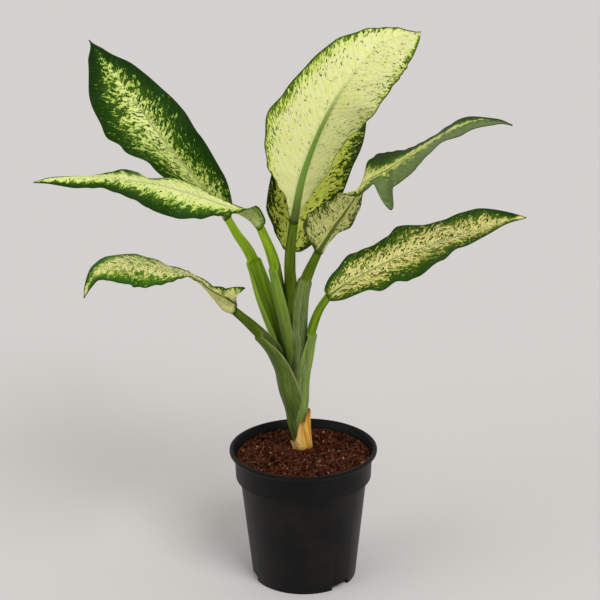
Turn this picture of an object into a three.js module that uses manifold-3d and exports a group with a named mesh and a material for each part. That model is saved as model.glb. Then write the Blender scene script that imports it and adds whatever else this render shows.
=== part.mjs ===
// Potted dieffenbachia: a leafy cane in a black nursery pot.
// Millimetres, +Z up. The origin is the centre of the pot's underside, and the viewer's side is -Y.
import * as THREE from 'three';
import { mergeVertices } from 'three/addons/utils/BufferGeometryUtils.js';
import Module from 'manifold-3d';

const wasm = await Module();
wasm.setup();

// Pot
const POT_HEIGHT = 112;
const RIM_RADIUS = 60;
const FOOT_RADIUS = 42.4;
const WALL = 1.4;
const LIP_INSIDE = 56.6;
const FLOOR = 2;
const POT_SIDES = 32;
// Drain notches in the foot: how many, where the first one is in degrees in plan, and their size
const NOTCHES = 3;
const FIRST_NOTCH = -46;
const NOTCH = { wide: 18, deep: 12, high: 5 };

// Soil
const SOIL_LEVEL = 105;
const SOIL_MOUND = 3;
const MOUND_WIDTH = 26;
const SOIL_EDGE = 104.5;
const SOIL_RINGS = [50, 42, 34, 26, 19, 10, 0];
const SOIL_RELIEF = 0.9;
// The soil is smooth round the cane, and its relief grows between these distances from it
const COLLAR = [12, 20];
// The cane's hole runs out through the mound, up to this height over the soil's level
const HOLE_SPARE = 10;

// Cane, the short thick stem that every leaf grows from: [x, y, z, radius]
const CANE = [
  [-1, 12, 76, 6],
  [-1, 12, 98, 6],
  [-1, 12, 107, 5],
  [-3, 11, 127, 4],
  [-4, 10, 145, 3],
  [-4, 10, 160, 3],
];
const CANE_SIDES = 16;
const CANE_STEPS = 14;

// Clearance between pieces that touch on the plant
const GAP = 0.35;
// Points closer than MERGE are one, and a cut piece's points lie on a grid of GRID
const MERGE = 1e-3;
const GRID = 0.02;

// Dry sheath: what is left of an old leaf's foot, torn open at its left
const DRY = { from: -150, to: 62, inner: 8, thick: 0.8, flare: 3, low: 113, high: 139, steps: 18 };
// Waves of its torn edge: [height, angle over its whole length in radians, start]
const TEARS = [[1.6, 9 * Math.PI, 0], [1.1, 23, 1]];

// Blades
const BLADE_STEPS = 22;
const BLADE_THICK = 0.8;
const MARGIN_THICK = 0.6;
const NECK = 3.6;
const KEEL = { wide: 3.1, deep: 4.2, tipWide: 0.4, tipDeep: 1 };
const TIP_HALF = 0.6;
// The direction that a blade faces with no turn: to the viewer and a little up
const FACING = new THREE.Vector3(0, -22, 7).normalize();

// Petioles, the leaf stalks
const STALK_STEPS = 16;
const OUTER_SIDES = 10;
const INNER_SIDES = 8;
const SHEATH_WALL = 1.8;

// Every leaf. The petiole is [x, y, z] from its foot on the cane to the blade, and faces away from the cane
// at `out` degrees in plan. Its form is [share, radius, half spread in degrees, hollow 0 to 1].
// The midrib is [x, y, z] from the blade's neck to its tip. The blade's form is
// [share, turn, lift left, curl left, width left, lift right, curl right, width right],
// in degrees and mm: a half leaves the midrib at its lift and has turned by its curl at the margin.
const LEAVES = [
  {
    name: 'top',
    out: -110,
    petiole: [[-4, 10, 166], [-5, 10, 180], [-7, 8, 204], [-9, 2, 245], [-9, -6, 279], [-6, -12, 307]],
    stalk: [[0, 4, 140, 0], [0.3, 6, 140, 0], [0.7, 4.5, 150, 0], [1, 3.5, 150, 0]],
    midrib: [
      [-6, -12, 307], [2, -20, 349], [18, -28, 392], [36, -30, 424], [55, -27, 446], [72, -23, 455],
      [90, -18, 457],
    ],
    outline: [0.5, 0.6],
    wave: [1, 2.5, 0.2, 0],
    form: [
      [0, 180, 75, 0, 34, 30, 0, 6],
      [0.09, 180, 63, 0, 34, 21, 0, 11],
      [0.14, 180, 57, 0, 33, 16, 0, 22],
      [0.2, 180, 50, 0, 29, 12, 0, 32],
      [0.28, 180, 47, 0, 26, 12, 0, 37],
      [0.38, 180, 42, -4, 27, 11, 0, 41],
      [0.48, 180, 39, -5, 33, 10, 0, 36],
      [0.62, 180, 18, 0, 32, 12, 0, 33],
      [0.73, 180, 12, 0, 35, 12, 0, 31],
      [0.82, 180, 8, 0, 40, 12, 0, 24],
      [0.87, 180, 7, 0, 45, 10, 0, 17.5],
      [0.91, 180, 6, 0, 49, 8, 0, 14],
      [0.96, 180, 5, 0, 56, 6, 0, 7],
      [1, 180, 5, 0, 48, 5, 0, 2],
    ],
  },
  {
    name: 'back',
    out: 80,
    petiole: [[-4, 11, 166], [-4, 14, 180], [-5, 17, 208], [-7, 18, 242], [-10, 19, 273]],
    stalk: [[0, 4, 140, 0], [0.3, 4, 150, 0], [1, 3.3, 150, 0]],
    midrib: [[-10, 19, 273], [-3, 31, 302], [12, 50, 335], [32, 75, 366], [49, 104, 394]],
    outline: [0.5, 0.8],
    wave: [1.5, 2.5, 0.2, 0],
    form: [
      [0, 0, 30, 0, 12, 25, 0, 28],
      [0.09, 0, 24, 0, 20, 16, 0, 28],
      [0.18, 0, 19, 0, 27, 10, 0, 26],
      [0.5, 0, 15, 0, 32, 10, 0, 27],
      [0.7, 0, 11, 0, 31, 8, 0, 30],
      [1, 0, 5, 0, 30, 5, 0, 30],
    ],
  },
  {
    name: 'left',
    out: 185,
    petiole: [[-4, 10, 158], [-6, 8, 172], [-10, 4, 204], [-16, 0, 243], [-23, -2, 276], [-32, -2, 300]],
    stalk: [
      [0, 4, 125, 1], [0.3, 6, 120, 0.8], [0.56, 7, 115, 0.6], [0.75, 6, 115, 0.4], [0.82, 4.4, 150, 0],
      [1, 3.4, 150, 0],
    ],
    midrib: [
      [-32, -2, 300], [-43, -6, 312], [-69, -14, 326], [-105, -26, 341.5], [-144, -38, 351.5],
      [-184, -48, 354.5], [-200, -52, 353],
    ],
    outline: [0.5, 0.8],
    wave: [1, 3.5, 0.2, 0],
    form: [
      [0, 48, 95, 0, 14, 70, 0, 9],
      [0.05, 48, 91, -3, 15, 60, 0, 8],
      [0.09, 48, 83, -8, 20, 38, 0, 1],
      [0.135, 48, 62, -14, 26, 15, 0, 1],
      [0.18, 48, 36, -18, 10, 0, 0, 3],
      [0.23, 48, 14, -21, 14, -14, -1, 8],
      [0.31, 48, 5, -31, 19.5, -13, -8, 14],
      [0.4, 48, -2, -40, 22, -12, -15, 18],
      [0.5, 48, 0, -25, 24, -25, -10, 22],
      [0.55, 48, 5, -20, 26, -21, -10, 27],
      [0.62, 48, 13, -10, 29, -15, -10, 21],
      [0.68, 48, 10, -12, 20, -17, -10, 16],
      [0.73, 48, 5, -14, 13, -21, -10, 16],
      [0.78, 48, 0, -15, 15, -25, -10, 15],
      [0.86, 48, 1, -10, 22, -18, -10, 8],
      [1, 48, 5, 0, 24, 0, -10, 8],
    ],
  },
  {
    name: 'back_left',
    out: 140,
    petiole: [
      [-4, 10, 152], [-7, 11, 168], [-18, 14, 200], [-29, 16, 236], [-40, 20, 269], [-51, 24, 286],
      [-58, 26, 298],
    ],
    stalk: [
      [0, 5, 125, 1], [0.3, 7, 120, 0.7], [0.55, 8, 110, 0.4], [0.74, 6.5, 110, 0.3], [0.8, 4.2, 150, 0],
      [1, 3.1, 150, 0],
    ],
    midrib: [
      [-58, 26, 298], [-69, 32, 312], [-94, 46, 338], [-118, 62, 365], [-142, 78, 395], [-169, 92, 429],
    ],
    outline: [0.5, 0.8],
    wave: [1.5, 2.5, 0, 0.3],
    form: [
      [0, 10, 75, 0, 30, 55, 0, 22],
      [0.15, 5, 68, 0, 34, 40, -5, 24],
      [0.35, 0, 62, 0, 36, 28, -5, 26.5],
      [0.5, 0, 38, 0, 37, 20, -5, 28],
      [0.65, 0, 0, 5, 39, 5, -5, 27],
      [0.8, 0, 5, 0, 45, 5, -5, 27],
      [0.93, 0, 0, 0, 38, 0, 0, 18],
      [1, 0, 0, 0, 8, 0, 0, 8],
    ],
  },
  {
    name: 'right',
    out: -50,
    petiole: [
      [-4, 10, 143], [-4, 9, 160], [-3, 6, 180], [-3, 4, 201], [-2, 2, 232], [1, 1, 249], [6, 1, 263],
      [13, 2, 278],
    ],
    stalk: [
      [0, 6, 125, 1], [0.2, 7, 120, 1], [0.64, 7, 115, 0.9], [0.8, 6, 110, 0.7], [0.87, 4.3, 150, 0],
      [1, 3.3, 150, 0],
    ],
    midrib: [
      [13, 2, 278], [28, -4, 305], [46, -14, 337], [68, -24, 354], [97, -34, 377], [125, -42, 394],
      [145, -48, 396.5], [157, -52, 394],
    ],
    outline: [0.5, 0.8],
    wave: [1, 3, 0.2, 0],
    form: [
      [0, -180, 55, 0, 3, 30, 0, 52],
      [0.09, -176, 41, 0, 5.5, 19, 0, 31],
      [0.14, -175, 35, 0, 14.5, 15, 0, 21.5],
      [0.2, -151, 26, 0, 16, 15, 0, 15.5],
      [0.27, -120, 15, 0, 19, 15, 0, 17],
      [0.37, -78, 10, 0, 27, -5, 0, 20],
      [0.41, -66, 8, 0, 24, -8, -5, 8],
      [0.4545, -60, 5, 0, 20, -20, -10, 34],
      [0.5, -63, 5, 0, 17, -3, 0, 25],
      [0.55, -68, 0, 0, 14.5, -3, 0, 29],
      [0.6, -72, -2, 0, 12, -4, 0, 33],
      [0.64, -75, -6, 0, 12, -4, 0, 35],
      [0.68, -75, -10, 0, 17, -3, 0, 32],
      [0.73, -70, -10, 0, 22, 2, 0, 24],
      [0.82, -62, 0, 0, 17, 0, 0, 29],
      [0.91, -63, 0, 0, 12, 0, 0, 34],
      [1, -65, 0, 0, 12, 0, 0, 24],
    ],
  },
  {
    name: 'low_right',
    out: -15,
    petiole: [
      [-3, 11, 128], [-4, 10, 145], [-3, 8, 163], [1, 4, 184], [7, -3, 213], [13, -10, 233],
      [20, -14, 246],
    ],
    stalk: [
      [0, 7, 130, 1], [0.2, 9, 120, 1], [0.45, 7, 110, 0.9], [0.67, 5.5, 110, 0.7], [0.75, 3.6, 150, 0],
      [1, 3.1, 150, 0],
    ],
    midrib: [[20, -14, 246], [36, -14, 258], [75, -8, 277], [119, 0, 290], [158, 8, 300], [177, 12, 302]],
    outline: [0.5, 0.8],
    wave: [3, 2.5, 0.2, 0],
    form: [
      [0, -50, 40, 0, 12, 20, 0, 22],
      [0.09, -50, 34, 0, 15, 11, 0, 29],
      [0.18, -50, 27, 0, 21, 5, -1, 22],
      [0.23, -50, 24, 0, 19, 5, -2, 27],
      [0.31, -50, 18, 0, 17, 5, -4, 21],
      [0.37, -50, 14, 0, 18, 5, -5, 28],
      [0.43, -50, 11, 0, 24, 5, -5, 31],
      [0.54, -50, 7, 0, 23, 9, -3, 29],
      [0.64, -50, 6, 0, 26, 18, 0, 21],
      [0.73, -50, 10, 0, 28, 19, 0, 21],
      [0.82, -50, 15, 0, 29.5, 20, 0, 26],
      [1, -50, 10, 0, 26, 20, 0, 20],
    ],
  },
  {
    name: 'low_left',
    out: 195,
    petiole: [
      [-1, 12, 112], [-3, 11, 130], [-5, 9, 149], [-10, 4, 170], [-20, -4, 197], [-38, -11, 220],
      [-53, -13, 235],
    ],
    stalk: [
      [0, 7, 60, 1], [0.15, 10, 70, 1], [0.35, 12, 110, 1], [0.55, 9, 115, 1], [0.78, 6.5, 110, 0.8],
      [0.86, 4.3, 150, 0], [1, 3.3, 150, 0],
    ],
    midrib: [
      [-53, -13, 235], [-60, -17, 239], [-66, -22, 248], [-71, -28, 257], [-77, -35, 267],
      [-83, -40, 273], [-87, -45, 277], [-98, -55, 282], [-128, -70, 294], [-142, -80, 297],
      [-153, -86, 293], [-159, -90, 284], [-162, -92, 275],
    ],
    outline: [0.5, 0.8],
    wave: [1, 2.5, 0.2, 0],
    form: [
      [0, 50, 100, 0, 12, 70, 0, 12],
      [0.045, 50, 98, 0, 11, 62, 0, 37],
      [0.09, 50, 95, 0, 10, 52, 0, 27],
      [0.14, 50, 88, 0, 9, 35, 0, 9],
      [0.2, 50, 70, 0, 8, 10, 0, 2],
      [0.3, 50, 40, 0, 3, -5, 0, 1.5],
      [0.36, 50, 20, 0, 3.5, -15, -5, 3],
      [0.41, 50, 14, -10, 3, -18, -10, 14],
      [0.455, 50, 8, -20, 4.8, -20, -15, 22],
      [0.5, 49, 6, -23, 9, -19, -15, 20],
      [0.55, 47, 5, -25, 13.5, -18, -15, 18.5],
      [0.64, 45, 5, -30, 21, -14, -14, 20.5],
      [0.73, 45, 5, -20, 29, -13, -12, 18.5],
      [0.78, 45, 5, -13, 37, -12, -10, 21.5],
      [0.82, 45, 5, -9, 40, -12, -10, 23],
      [0.86, 45, 4, -7, 34, -10, -8, 21],
      [0.91, 45, 3, -5, 20, -8, -5, 17],
      [1, 45, 0, 0, 18, -5, 0, 14],
    ],
  },
];

const { degToRad, lerp, smoothstep } = THREE.MathUtils;

// Vectors from [x, y, z] lists
const vectors = (points) => points.map(([x, y, z]) => new THREE.Vector3(x, y, z));

// A smooth curve through the points
const curveOf = (points) => new THREE.CatmullRomCurve3(vectors(points), false, 'catmullrom', 0.5);

// The row of values at a share, eased from one row to the next
function eased(rows, share) {
  let k = 0;
  while (k < rows.length - 2 && share > rows[k + 1][0]) k += 1;
  const mix = smoothstep(share, rows[k][0], rows[k + 1][0]);
  return rows[k].slice(1).map((value, i) => lerp(value, rows[k + 1][i + 1], mix));
}

// The part of a direction that is square to the axis
const squareTo = (direction, axis) => direction.clone().projectOnPlane(axis).normalize();

// Six times the volume that the triangles enclose
function sixfoldVolume(positions, triangles) {
  const [a, b, c] = [new THREE.Vector3(), new THREE.Vector3(), new THREE.Vector3()];
  let sum = 0;
  for (let i = 0; i < triangles.length; i += 3) {
    a.fromArray(positions, 3 * triangles[i]);
    b.fromArray(positions, 3 * triangles[i + 1]);
    c.fromArray(positions, 3 * triangles[i + 2]);
    sum += a.dot(b.cross(c));
  }
  return sum;
}

// A geometry with its faces pointing out
function bodyOf(positions, triangles) {
  const geometry = new THREE.BufferGeometry();
  const outward = sixfoldVolume(positions, triangles) > 0;
  geometry.setAttribute('position', new THREE.Float32BufferAttribute(positions, 3));
  geometry.setIndex(outward ? triangles : [...triangles].reverse());
  geometry.computeVertexNormals();
  return geometry;
}

// A body from a three.js geometry whose seams are closed by merging its points
function merged(geometry) {
  geometry.deleteAttribute('normal');
  geometry.deleteAttribute('uv');
  const whole = mergeVertices(geometry, MERGE);
  const triangles = [];
  for (let i = 0; i < whole.index.count; i += 3) {
    const corners = [0, 1, 2].map((k) => whole.index.getX(i + k));
    if (new Set(corners).size === 3) triangles.push(...corners);
  }
  return bodyOf([...whole.attributes.position.array], triangles);
}

// A body through a row of closed rings with equal point counts. The two ends are the triangles of the
// first and the last face, as indices in a ring. From `flip` on, quads are split on their other diagonal.
function loft(rings, firstEnd, lastEnd, flip = Infinity) {
  const count = rings[0].length;
  const positions = rings.flat().flatMap((point) => point.toArray());
  const triangles = [];
  for (let i = 0; i + 1 < rings.length; i += 1) {
    for (let k = 0; k < count; k += 1) {
      const next = (k + 1) % count;
      const [a, b, c, d] = [i * count + k, i * count + next, (i + 1) * count + next, (i + 1) * count + k];
      if (k < flip) triangles.push(a, b, c, a, c, d);
      else triangles.push(a, b, d, b, c, d);
    }
  }
  const last = (rings.length - 1) * count;
  for (const [a, b, c] of firstEnd) triangles.push(a, c, b);
  for (const [a, b, c] of lastEnd) triangles.push(last + a, last + b, last + c);
  return bodyOf(positions, triangles);
}

const toSolid = (geometry) => new wasm.Manifold(new wasm.Mesh({
  numProp: 3,
  vertProperties: geometry.attributes.position.array,
  triVerts: new Uint32Array(geometry.index.array),
}));

function fromSolid(solid) {
  const mesh = solid.getMesh();
  return bodyOf([...mesh.vertProperties], [...mesh.triVerts]);
}

// The largest piece of a solid
const largest = (solid) => solid.decompose().sort((a, b) => b.volume() - a.volume())[0];

// The largest piece with its points on the grid, so that scraps, hair-thin bridges and slivers are dropped
function clean(solid) {
  const geometry = fromSolid(largest(solid));
  geometry.attributes.position.array.forEach((value, i, all) => {
    all[i] = Math.round(value / GRID) * GRID;
  });
  return largest(toSolid(merged(geometry)));
}

const group = new THREE.Group();
group.name = 'potted_dieffenbachia';

function place(name, geometry, color, roughness) {
  const mesh = new THREE.Mesh(geometry, new THREE.MeshStandardMaterial({ color, roughness, metalness: 0 }));
  mesh.name = name;
  group.add(mesh);
}

// The pot's outside, as [radius, height]: a straight lower wall, a sharp ledge, a band and a flat lip
const POT_OUTSIDE = [
  [FOOT_RADIUS, 0],
  [51.6, 87],
  [54.7, 87.4],
  [55.2, 88.4],
  [55.9, 106],
  [56.6, 107.6],
  [59.4, 108.6],
  [RIM_RADIUS, 109.6],
  [RIM_RADIUS, 111],
  [59.3, 111.8],
  [58.3, POT_HEIGHT],
];

// The pot's inside, which steps out over the ledge
const POT_INSIDE = [
  [FOOT_RADIUS - WALL, FLOOR],
  [50.3, 88.4],
  [53.8, 89.4],
  [54.5, 106],
  [LIP_INSIDE, POT_HEIGHT - 1],
];

function potBody() {
  const profile = [[0, 0], ...POT_OUTSIDE, ...[...POT_INSIDE].reverse(), [0, FLOOR]];
  const lathe = new THREE.LatheGeometry(profile.map(([r, z]) => new THREE.Vector2(r, z)), POT_SIDES);
  lathe.rotateX(Math.PI / 2);
  let pot = toSolid(merged(lathe));
  for (let n = 0; n < NOTCHES; n += 1) {
    const notch = new THREE.BoxGeometry(NOTCH.deep, NOTCH.wide, 2 * NOTCH.high);
    notch.translate(FOOT_RADIUS, 0, 0);
    notch.rotateZ(degToRad(FIRST_NOTCH + (n * 360) / NOTCHES));
    pot = pot.subtract(toSolid(merged(notch)));
  }
  return fromSolid(pot);
}

// Height of the soil's crumbly top over its level
const soilRelief = (x, y) => SOIL_RELIEF * (Math.sin(0.31 * x + 1.3 * Math.sin(0.17 * y))
  + Math.sin(0.37 * y + 1.7 * Math.sin(0.23 * x + 2)) + 0.5 * Math.sin(0.9 * x + 0.8 * y));

function soilBody() {
  const [caneX, caneY, caneFoot, caneRadius] = CANE[0];
  const top = SOIL_RINGS.map((r) => [r, SOIL_LEVEL]);
  const [[underLip, underLipZ], [lip, lipZ]] = POT_INSIDE.slice(-2);
  const edge = lerp(underLip, lip, (SOIL_EDGE - underLipZ) / (lipZ - underLipZ));
  const wall = [...POT_INSIDE.slice(1, -1), [edge, SOIL_EDGE]].map(([r, z]) => [r - GAP, z]);
  const foot = [[0, FLOOR + GAP], [FOOT_RADIUS - WALL - GAP, FLOOR + GAP]];
  const profile = [...foot, ...wall, ...top];
  const lathe = new THREE.LatheGeometry(profile.map(([r, z]) => new THREE.Vector2(r, z)), POT_SIDES);
  lathe.rotateX(Math.PI / 2);
  const body = merged(lathe);
  const spots = body.attributes.position;
  for (let i = 0; i < spots.count; i += 1) {
    const [x, y, z] = [spots.getX(i), spots.getY(i), spots.getZ(i)];
    const far = Math.hypot(x - caneX, y - caneY);
    const rough = smoothstep(far, ...COLLAR) * soilRelief(x, y);
    if (z > SOIL_EDGE) spots.setZ(i, z + SOIL_MOUND * Math.exp(-((far / MOUND_WIDTH) ** 2)) + rough);
  }
  const deep = SOIL_LEVEL + HOLE_SPARE - caneFoot + GAP;
  const hole = new THREE.CylinderGeometry(caneRadius + GAP, caneRadius + GAP, deep, CANE_SIDES);
  hole.rotateX(Math.PI / 2);
  hole.translate(caneX, caneY, caneFoot - GAP + deep / 2);
  return fromSolid(toSolid(body).subtract(toSolid(merged(hole))));
}

// A round tapering bar along the cane, wider than it by `more`
function caneBody(more) {
  const curve = curveOf(CANE);
  const radii = CANE.map(([, , , radius], k) => [k / (CANE.length - 1), radius]);
  const rings = [];
  for (let i = 0; i <= CANE_STEPS; i += 1) {
    const share = i / CANE_STEPS;
    const [centre, axis] = [curve.getPoint(share), curve.getTangent(share)];
    const across = squareTo(new THREE.Vector3(1, 0, 0), axis);
    const along = axis.clone().cross(across);
    const [radius] = eased(radii, share);
    const end = i === 0 ? -more : i === CANE_STEPS ? more : 0;
    rings.push(Array.from({ length: CANE_SIDES }, (_, k) => {
      const angle = (2 * Math.PI * k) / CANE_SIDES;
      return centre.clone().addScaledVector(axis, end)
        .addScaledVector(across, (radius + more) * Math.cos(angle))
        .addScaledVector(along, (radius + more) * Math.sin(angle));
    }));
  }
  const ends = Array.from({ length: CANE_SIDES - 2 }, (_, k) => [0, k + 1, k + 2]);
  return loft(rings, ends, ends);
}

// The blade's own directions at a point of its midrib: its upper side and its right
function bladeFrame(axis, turn) {
  const plain = squareTo(FACING, axis);
  const side = axis.clone().cross(plain);
  const [c, s] = [Math.cos(degToRad(turn)), Math.sin(degToRad(turn))];
  return {
    up: plain.clone().multiplyScalar(c).addScaledVector(side, s),
    right: side.clone().multiplyScalar(c).addScaledVector(plain, -s),
  };
}

// Width of the blade's outline at a share of the midrib, 1 at its widest
function outlineAt([rise, fall], share) {
  const peak = rise / (rise + fall);
  return (share ** rise * (1 - share) ** fall) / (peak ** rise * (1 - peak) ** fall);
}

// A thin curved leaf blade with a keel under its midrib
function bladeBody(leaf) {
  const curve = curveOf(leaf.midrib);
  const [deep, count, leftPhase, rightPhase] = leaf.wave;
  const rings = [];
  for (let i = 0; i <= BLADE_STEPS; i += 1) {
    const share = i / BLADE_STEPS;
    const axis = curve.getTangentAt(share);
    const middle = curve.getPointAt(share);
    if (i === 0) middle.addScaledVector(axis, GAP);
    const [turn, liftL, curlL, wideL, liftR, curlR, wideR] = eased(leaf.form, share);
    const { up, right } = bladeFrame(axis, turn);
    const shape = outlineAt(leaf.outline, share);
    const half = (side, lift, curl, wide, phase) => {
      const reach = Math.max(NECK * (1 - share) + wide * shape, TIP_HALF);
      const keel = Math.min(lerp(KEEL.wide, KEEL.tipWide, share), 0.85 * reach);
      const keelDeep = lerp(KEEL.deep, KEEL.tipDeep, share ** 0.7);
      const spots = [0.6 * keel, keel, lerp(keel, reach, 1 / 3), lerp(keel, reach, 2 / 3), reach];
      return [0, ...spots].map((far) => {
        const u = far / reach;
        const start = degToRad(lift);
        const bend = degToRad(curl);
        const steady = Math.abs(bend) < 1e-3;
        const turned = start + bend * u;
        const radius = reach / bend;
        const out = steady ? far * Math.cos(start) : radius * (Math.sin(turned) - Math.sin(start));
        const rise = steady ? far * Math.sin(start) : radius * (Math.cos(start) - Math.cos(turned));
        const angle = far === 0 ? 0 : turned;
        const face = up.clone().multiplyScalar(Math.cos(angle))
          .addScaledVector(right, -side * Math.sin(angle));
        const ripple = deep * shape * u * u * Math.sin(2 * Math.PI * (count * share + phase));
        const upper = middle.clone().addScaledVector(right, side * out).addScaledVector(up, rise)
          .addScaledVector(face, ripple);
        const plainThick = lerp(BLADE_THICK, MARGIN_THICK, u);
        const bulge = far < keel ? (keelDeep - plainThick) * Math.sqrt(1 - (far / keel) ** 2) : 0;
        return { upper, lower: upper.clone().addScaledVector(face, -plainThick - bulge) };
      });
    };
    const row = [
      ...half(-1, liftL, curlL, wideL, leftPhase).slice(1).reverse(),
      ...half(1, liftR, curlR, wideR, rightPhase),
    ];
    rings.push([...row.map((spot) => spot.upper), ...row.map((spot) => spot.lower).reverse()]);
  }
  const across = rings[0].length / 2;
  const ends = [];
  for (let k = 0; k + 1 < across; k += 1) {
    const [a, b, c, d] = [k, k + 1, 2 * across - 2 - k, 2 * across - 1 - k];
    ends.push([a, b, c], [a, c, d]);
  }
  return loft(rings, ends, ends, across);
}

// A petiole's section, away from the cane first: a part of a ring that closes to a flat-topped bar
function stalkSection(radius, spread, hollow) {
  const points = [];
  for (let k = 0; k <= OUTER_SIDES; k += 1) {
    const angle = degToRad(spread) * ((2 * k) / OUTER_SIDES - 1);
    points.push([radius * Math.cos(angle), radius * Math.sin(angle)]);
  }
  for (let k = 1; k < INNER_SIDES; k += 1) {
    const s = 1 - (2 * k) / INNER_SIDES;
    const angle = degToRad(spread) * s;
    const wall = SHEATH_WALL * (0.5 + 0.5 * Math.cos((s * Math.PI) / 2));
    const arc = [(radius - wall) * Math.cos(angle), (radius - wall) * Math.sin(angle)];
    const chord = [radius * Math.cos(degToRad(spread)), radius * Math.sin(degToRad(spread)) * s];
    points.push([lerp(chord[0], arc[0], hollow), lerp(chord[1], arc[1], hollow)]);
  }
  return points;
}

// The room that a petiole takes up, its hollow filled: a full circle, or a segment where it spreads little
function filledSection(radius, spread) {
  const points = [];
  const half = degToRad(spread);
  const whole = spread >= 90;
  for (let k = 0; k <= OUTER_SIDES; k += 1) {
    const angle = half * ((2 * k) / OUTER_SIDES - 1);
    points.push([radius * Math.cos(angle), radius * Math.sin(angle)]);
  }
  for (let k = 1; k < INNER_SIDES; k += 1) {
    const share = k / INNER_SIDES;
    const angle = half + 2 * (Math.PI - half) * share;
    const arc = [radius * Math.cos(angle), radius * Math.sin(angle)];
    points.push(whole ? arc : [radius * Math.cos(half), radius * Math.sin(half) * (1 - 2 * share)]);
  }
  return points;
}

// A petiole along its path, or with `more` the room it takes up with that clearance
function stalkBody(leaf, more = 0) {
  const curve = curveOf(leaf.petiole);
  const foot = degToRad(leaf.out);
  const outward = new THREE.Vector3(Math.cos(foot), Math.sin(foot), 0);
  const bladeStart = curveOf(leaf.midrib).getTangentAt(0);
  const underside = bladeFrame(bladeStart, leaf.form[0][1]).up.negate();
  const rings = [];
  const faces = [];
  for (let i = 0; i <= STALK_STEPS; i += 1) {
    const share = i / STALK_STEPS;
    const axis = i === STALK_STEPS ? bladeStart : curve.getTangentAt(share);
    const away = squareTo(outward.clone().lerp(underside, smoothstep(share, 0.4, 1)), axis);
    const side = axis.clone().cross(away);
    const [radius, spread, hollow] = eased(leaf.stalk, share);
    const section = more ? filledSection(radius + more, spread) : stalkSection(radius, spread, hollow);
    faces.push(section.map(([a, b]) => new THREE.Vector2(a, b)));
    const end = i === 0 ? -more : i === STALK_STEPS ? more : 0;
    const centre = curve.getPointAt(share).addScaledVector(axis, end);
    rings.push(section.map(([a, b]) => centre.clone().addScaledVector(away, a).addScaledVector(side, b)));
  }
  const endOf = (face) => THREE.ShapeUtils.triangulateShape(face, []);
  return loft(rings, endOf(faces[0]), endOf(faces[STALK_STEPS]));
}

// The torn papery sleeve round the cane's foot
function drySheathBody() {
  const [foot, knee] = vectors(CANE.slice(2, 4));
  const rings = [];
  for (let i = 0; i <= DRY.steps; i += 1) {
    const share = i / DRY.steps;
    const angle = degToRad(lerp(DRY.from, DRY.to, share));
    const tear = TEARS.reduce((sum, [high, turn, start]) => sum + high * Math.sin(turn * share + start), 0);
    const top = lerp(DRY.low, DRY.high, smoothstep(share, 0, 0.5)) + tear;
    const ring = [];
    for (const [high, thick] of [[0, 0], [0.5, 0], [1, 0], [1, 1], [0.5, 1], [0, 1]]) {
      const radius = DRY.inner + DRY.thick * thick + DRY.flare * high * high;
      const z = lerp(SOIL_LEVEL + SOIL_MOUND + GAP, top, high);
      const middle = foot.clone().lerp(knee, (z - foot.z) / (knee.z - foot.z));
      ring.push(middle.add(new THREE.Vector3(radius * Math.cos(angle), radius * Math.sin(angle), 0)));
    }
    rings.push(ring);
  }
  const ends = [[0, 1, 5], [1, 4, 5], [1, 2, 4], [2, 3, 4]];
  return loft(rings, ends, ends);
}

place('pot', potBody(), 0x1c1c1e, 0.4);
place('soil', soilBody(), 0x3a2418, 0.95);
place('cane', caneBody(0), 0x7c8a3c, 0.6);

// From the innermost leaf outwards, each petiole wraps what stands inside it
let taken = toSolid(caneBody(GAP));
for (const leaf of LEAVES) {
  const petiole = clean(toSolid(stalkBody(leaf)).subtract(taken));
  place(`${leaf.name}_petiole`, fromSolid(petiole), 0x66803a, 0.5);
  place(`${leaf.name}_blade`, bladeBody(leaf), leaf.name === 'top' ? 0xa8bf5a : 0x5f8036, 0.45);
  taken = taken.add(toSolid(stalkBody(leaf, GAP)));
}
const drySheath = clean(toSolid(drySheathBody()).subtract(taken));
place('dry_sheath', fromSolid(drySheath), 0xc8963c, 0.8);

export default group;
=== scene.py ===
"""Potted dieffenbachia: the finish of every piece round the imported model, and the stage it stands on."""

import math

import bpy
import numpy as np
from bpy.props import FloatProperty, FloatVectorProperty, IntProperty, PointerProperty
from mathutils import Matrix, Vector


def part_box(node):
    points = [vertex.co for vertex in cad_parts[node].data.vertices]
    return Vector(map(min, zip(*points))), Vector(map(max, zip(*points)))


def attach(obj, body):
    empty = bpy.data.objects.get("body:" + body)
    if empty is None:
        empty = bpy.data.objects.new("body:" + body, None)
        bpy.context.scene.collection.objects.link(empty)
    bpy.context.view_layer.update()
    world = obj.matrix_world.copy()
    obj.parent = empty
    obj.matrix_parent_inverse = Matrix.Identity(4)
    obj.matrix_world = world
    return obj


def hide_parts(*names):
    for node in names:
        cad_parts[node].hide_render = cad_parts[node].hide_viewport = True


bl_info = {
    "name": "Potted Dieffenbachia",
    "version": (1, 0, 0),
    "blender": (4, 5, 0),
    "location": "3D View > Sidebar > Plant",
    "description": "A dieffenbachia with seven variegated leaves in a black nursery pot",
    "category": "Add Mesh",
}

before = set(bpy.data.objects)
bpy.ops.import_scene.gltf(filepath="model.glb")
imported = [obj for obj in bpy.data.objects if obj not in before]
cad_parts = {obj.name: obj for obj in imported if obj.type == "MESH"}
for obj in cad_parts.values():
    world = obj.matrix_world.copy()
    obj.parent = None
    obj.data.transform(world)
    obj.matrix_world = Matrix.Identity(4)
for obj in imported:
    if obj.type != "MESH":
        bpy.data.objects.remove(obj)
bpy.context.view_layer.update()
POT_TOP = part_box("pot")[1]

MM = 0.001
CM = 0.01


# Places and sizes below are in millimetres, as in the solids, and become metres by MM.
# A blade's turn about its midrib is counted from the side that faces this way
FACING = np.array([0, -22, 7]) / math.hypot(22, 7)

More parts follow.
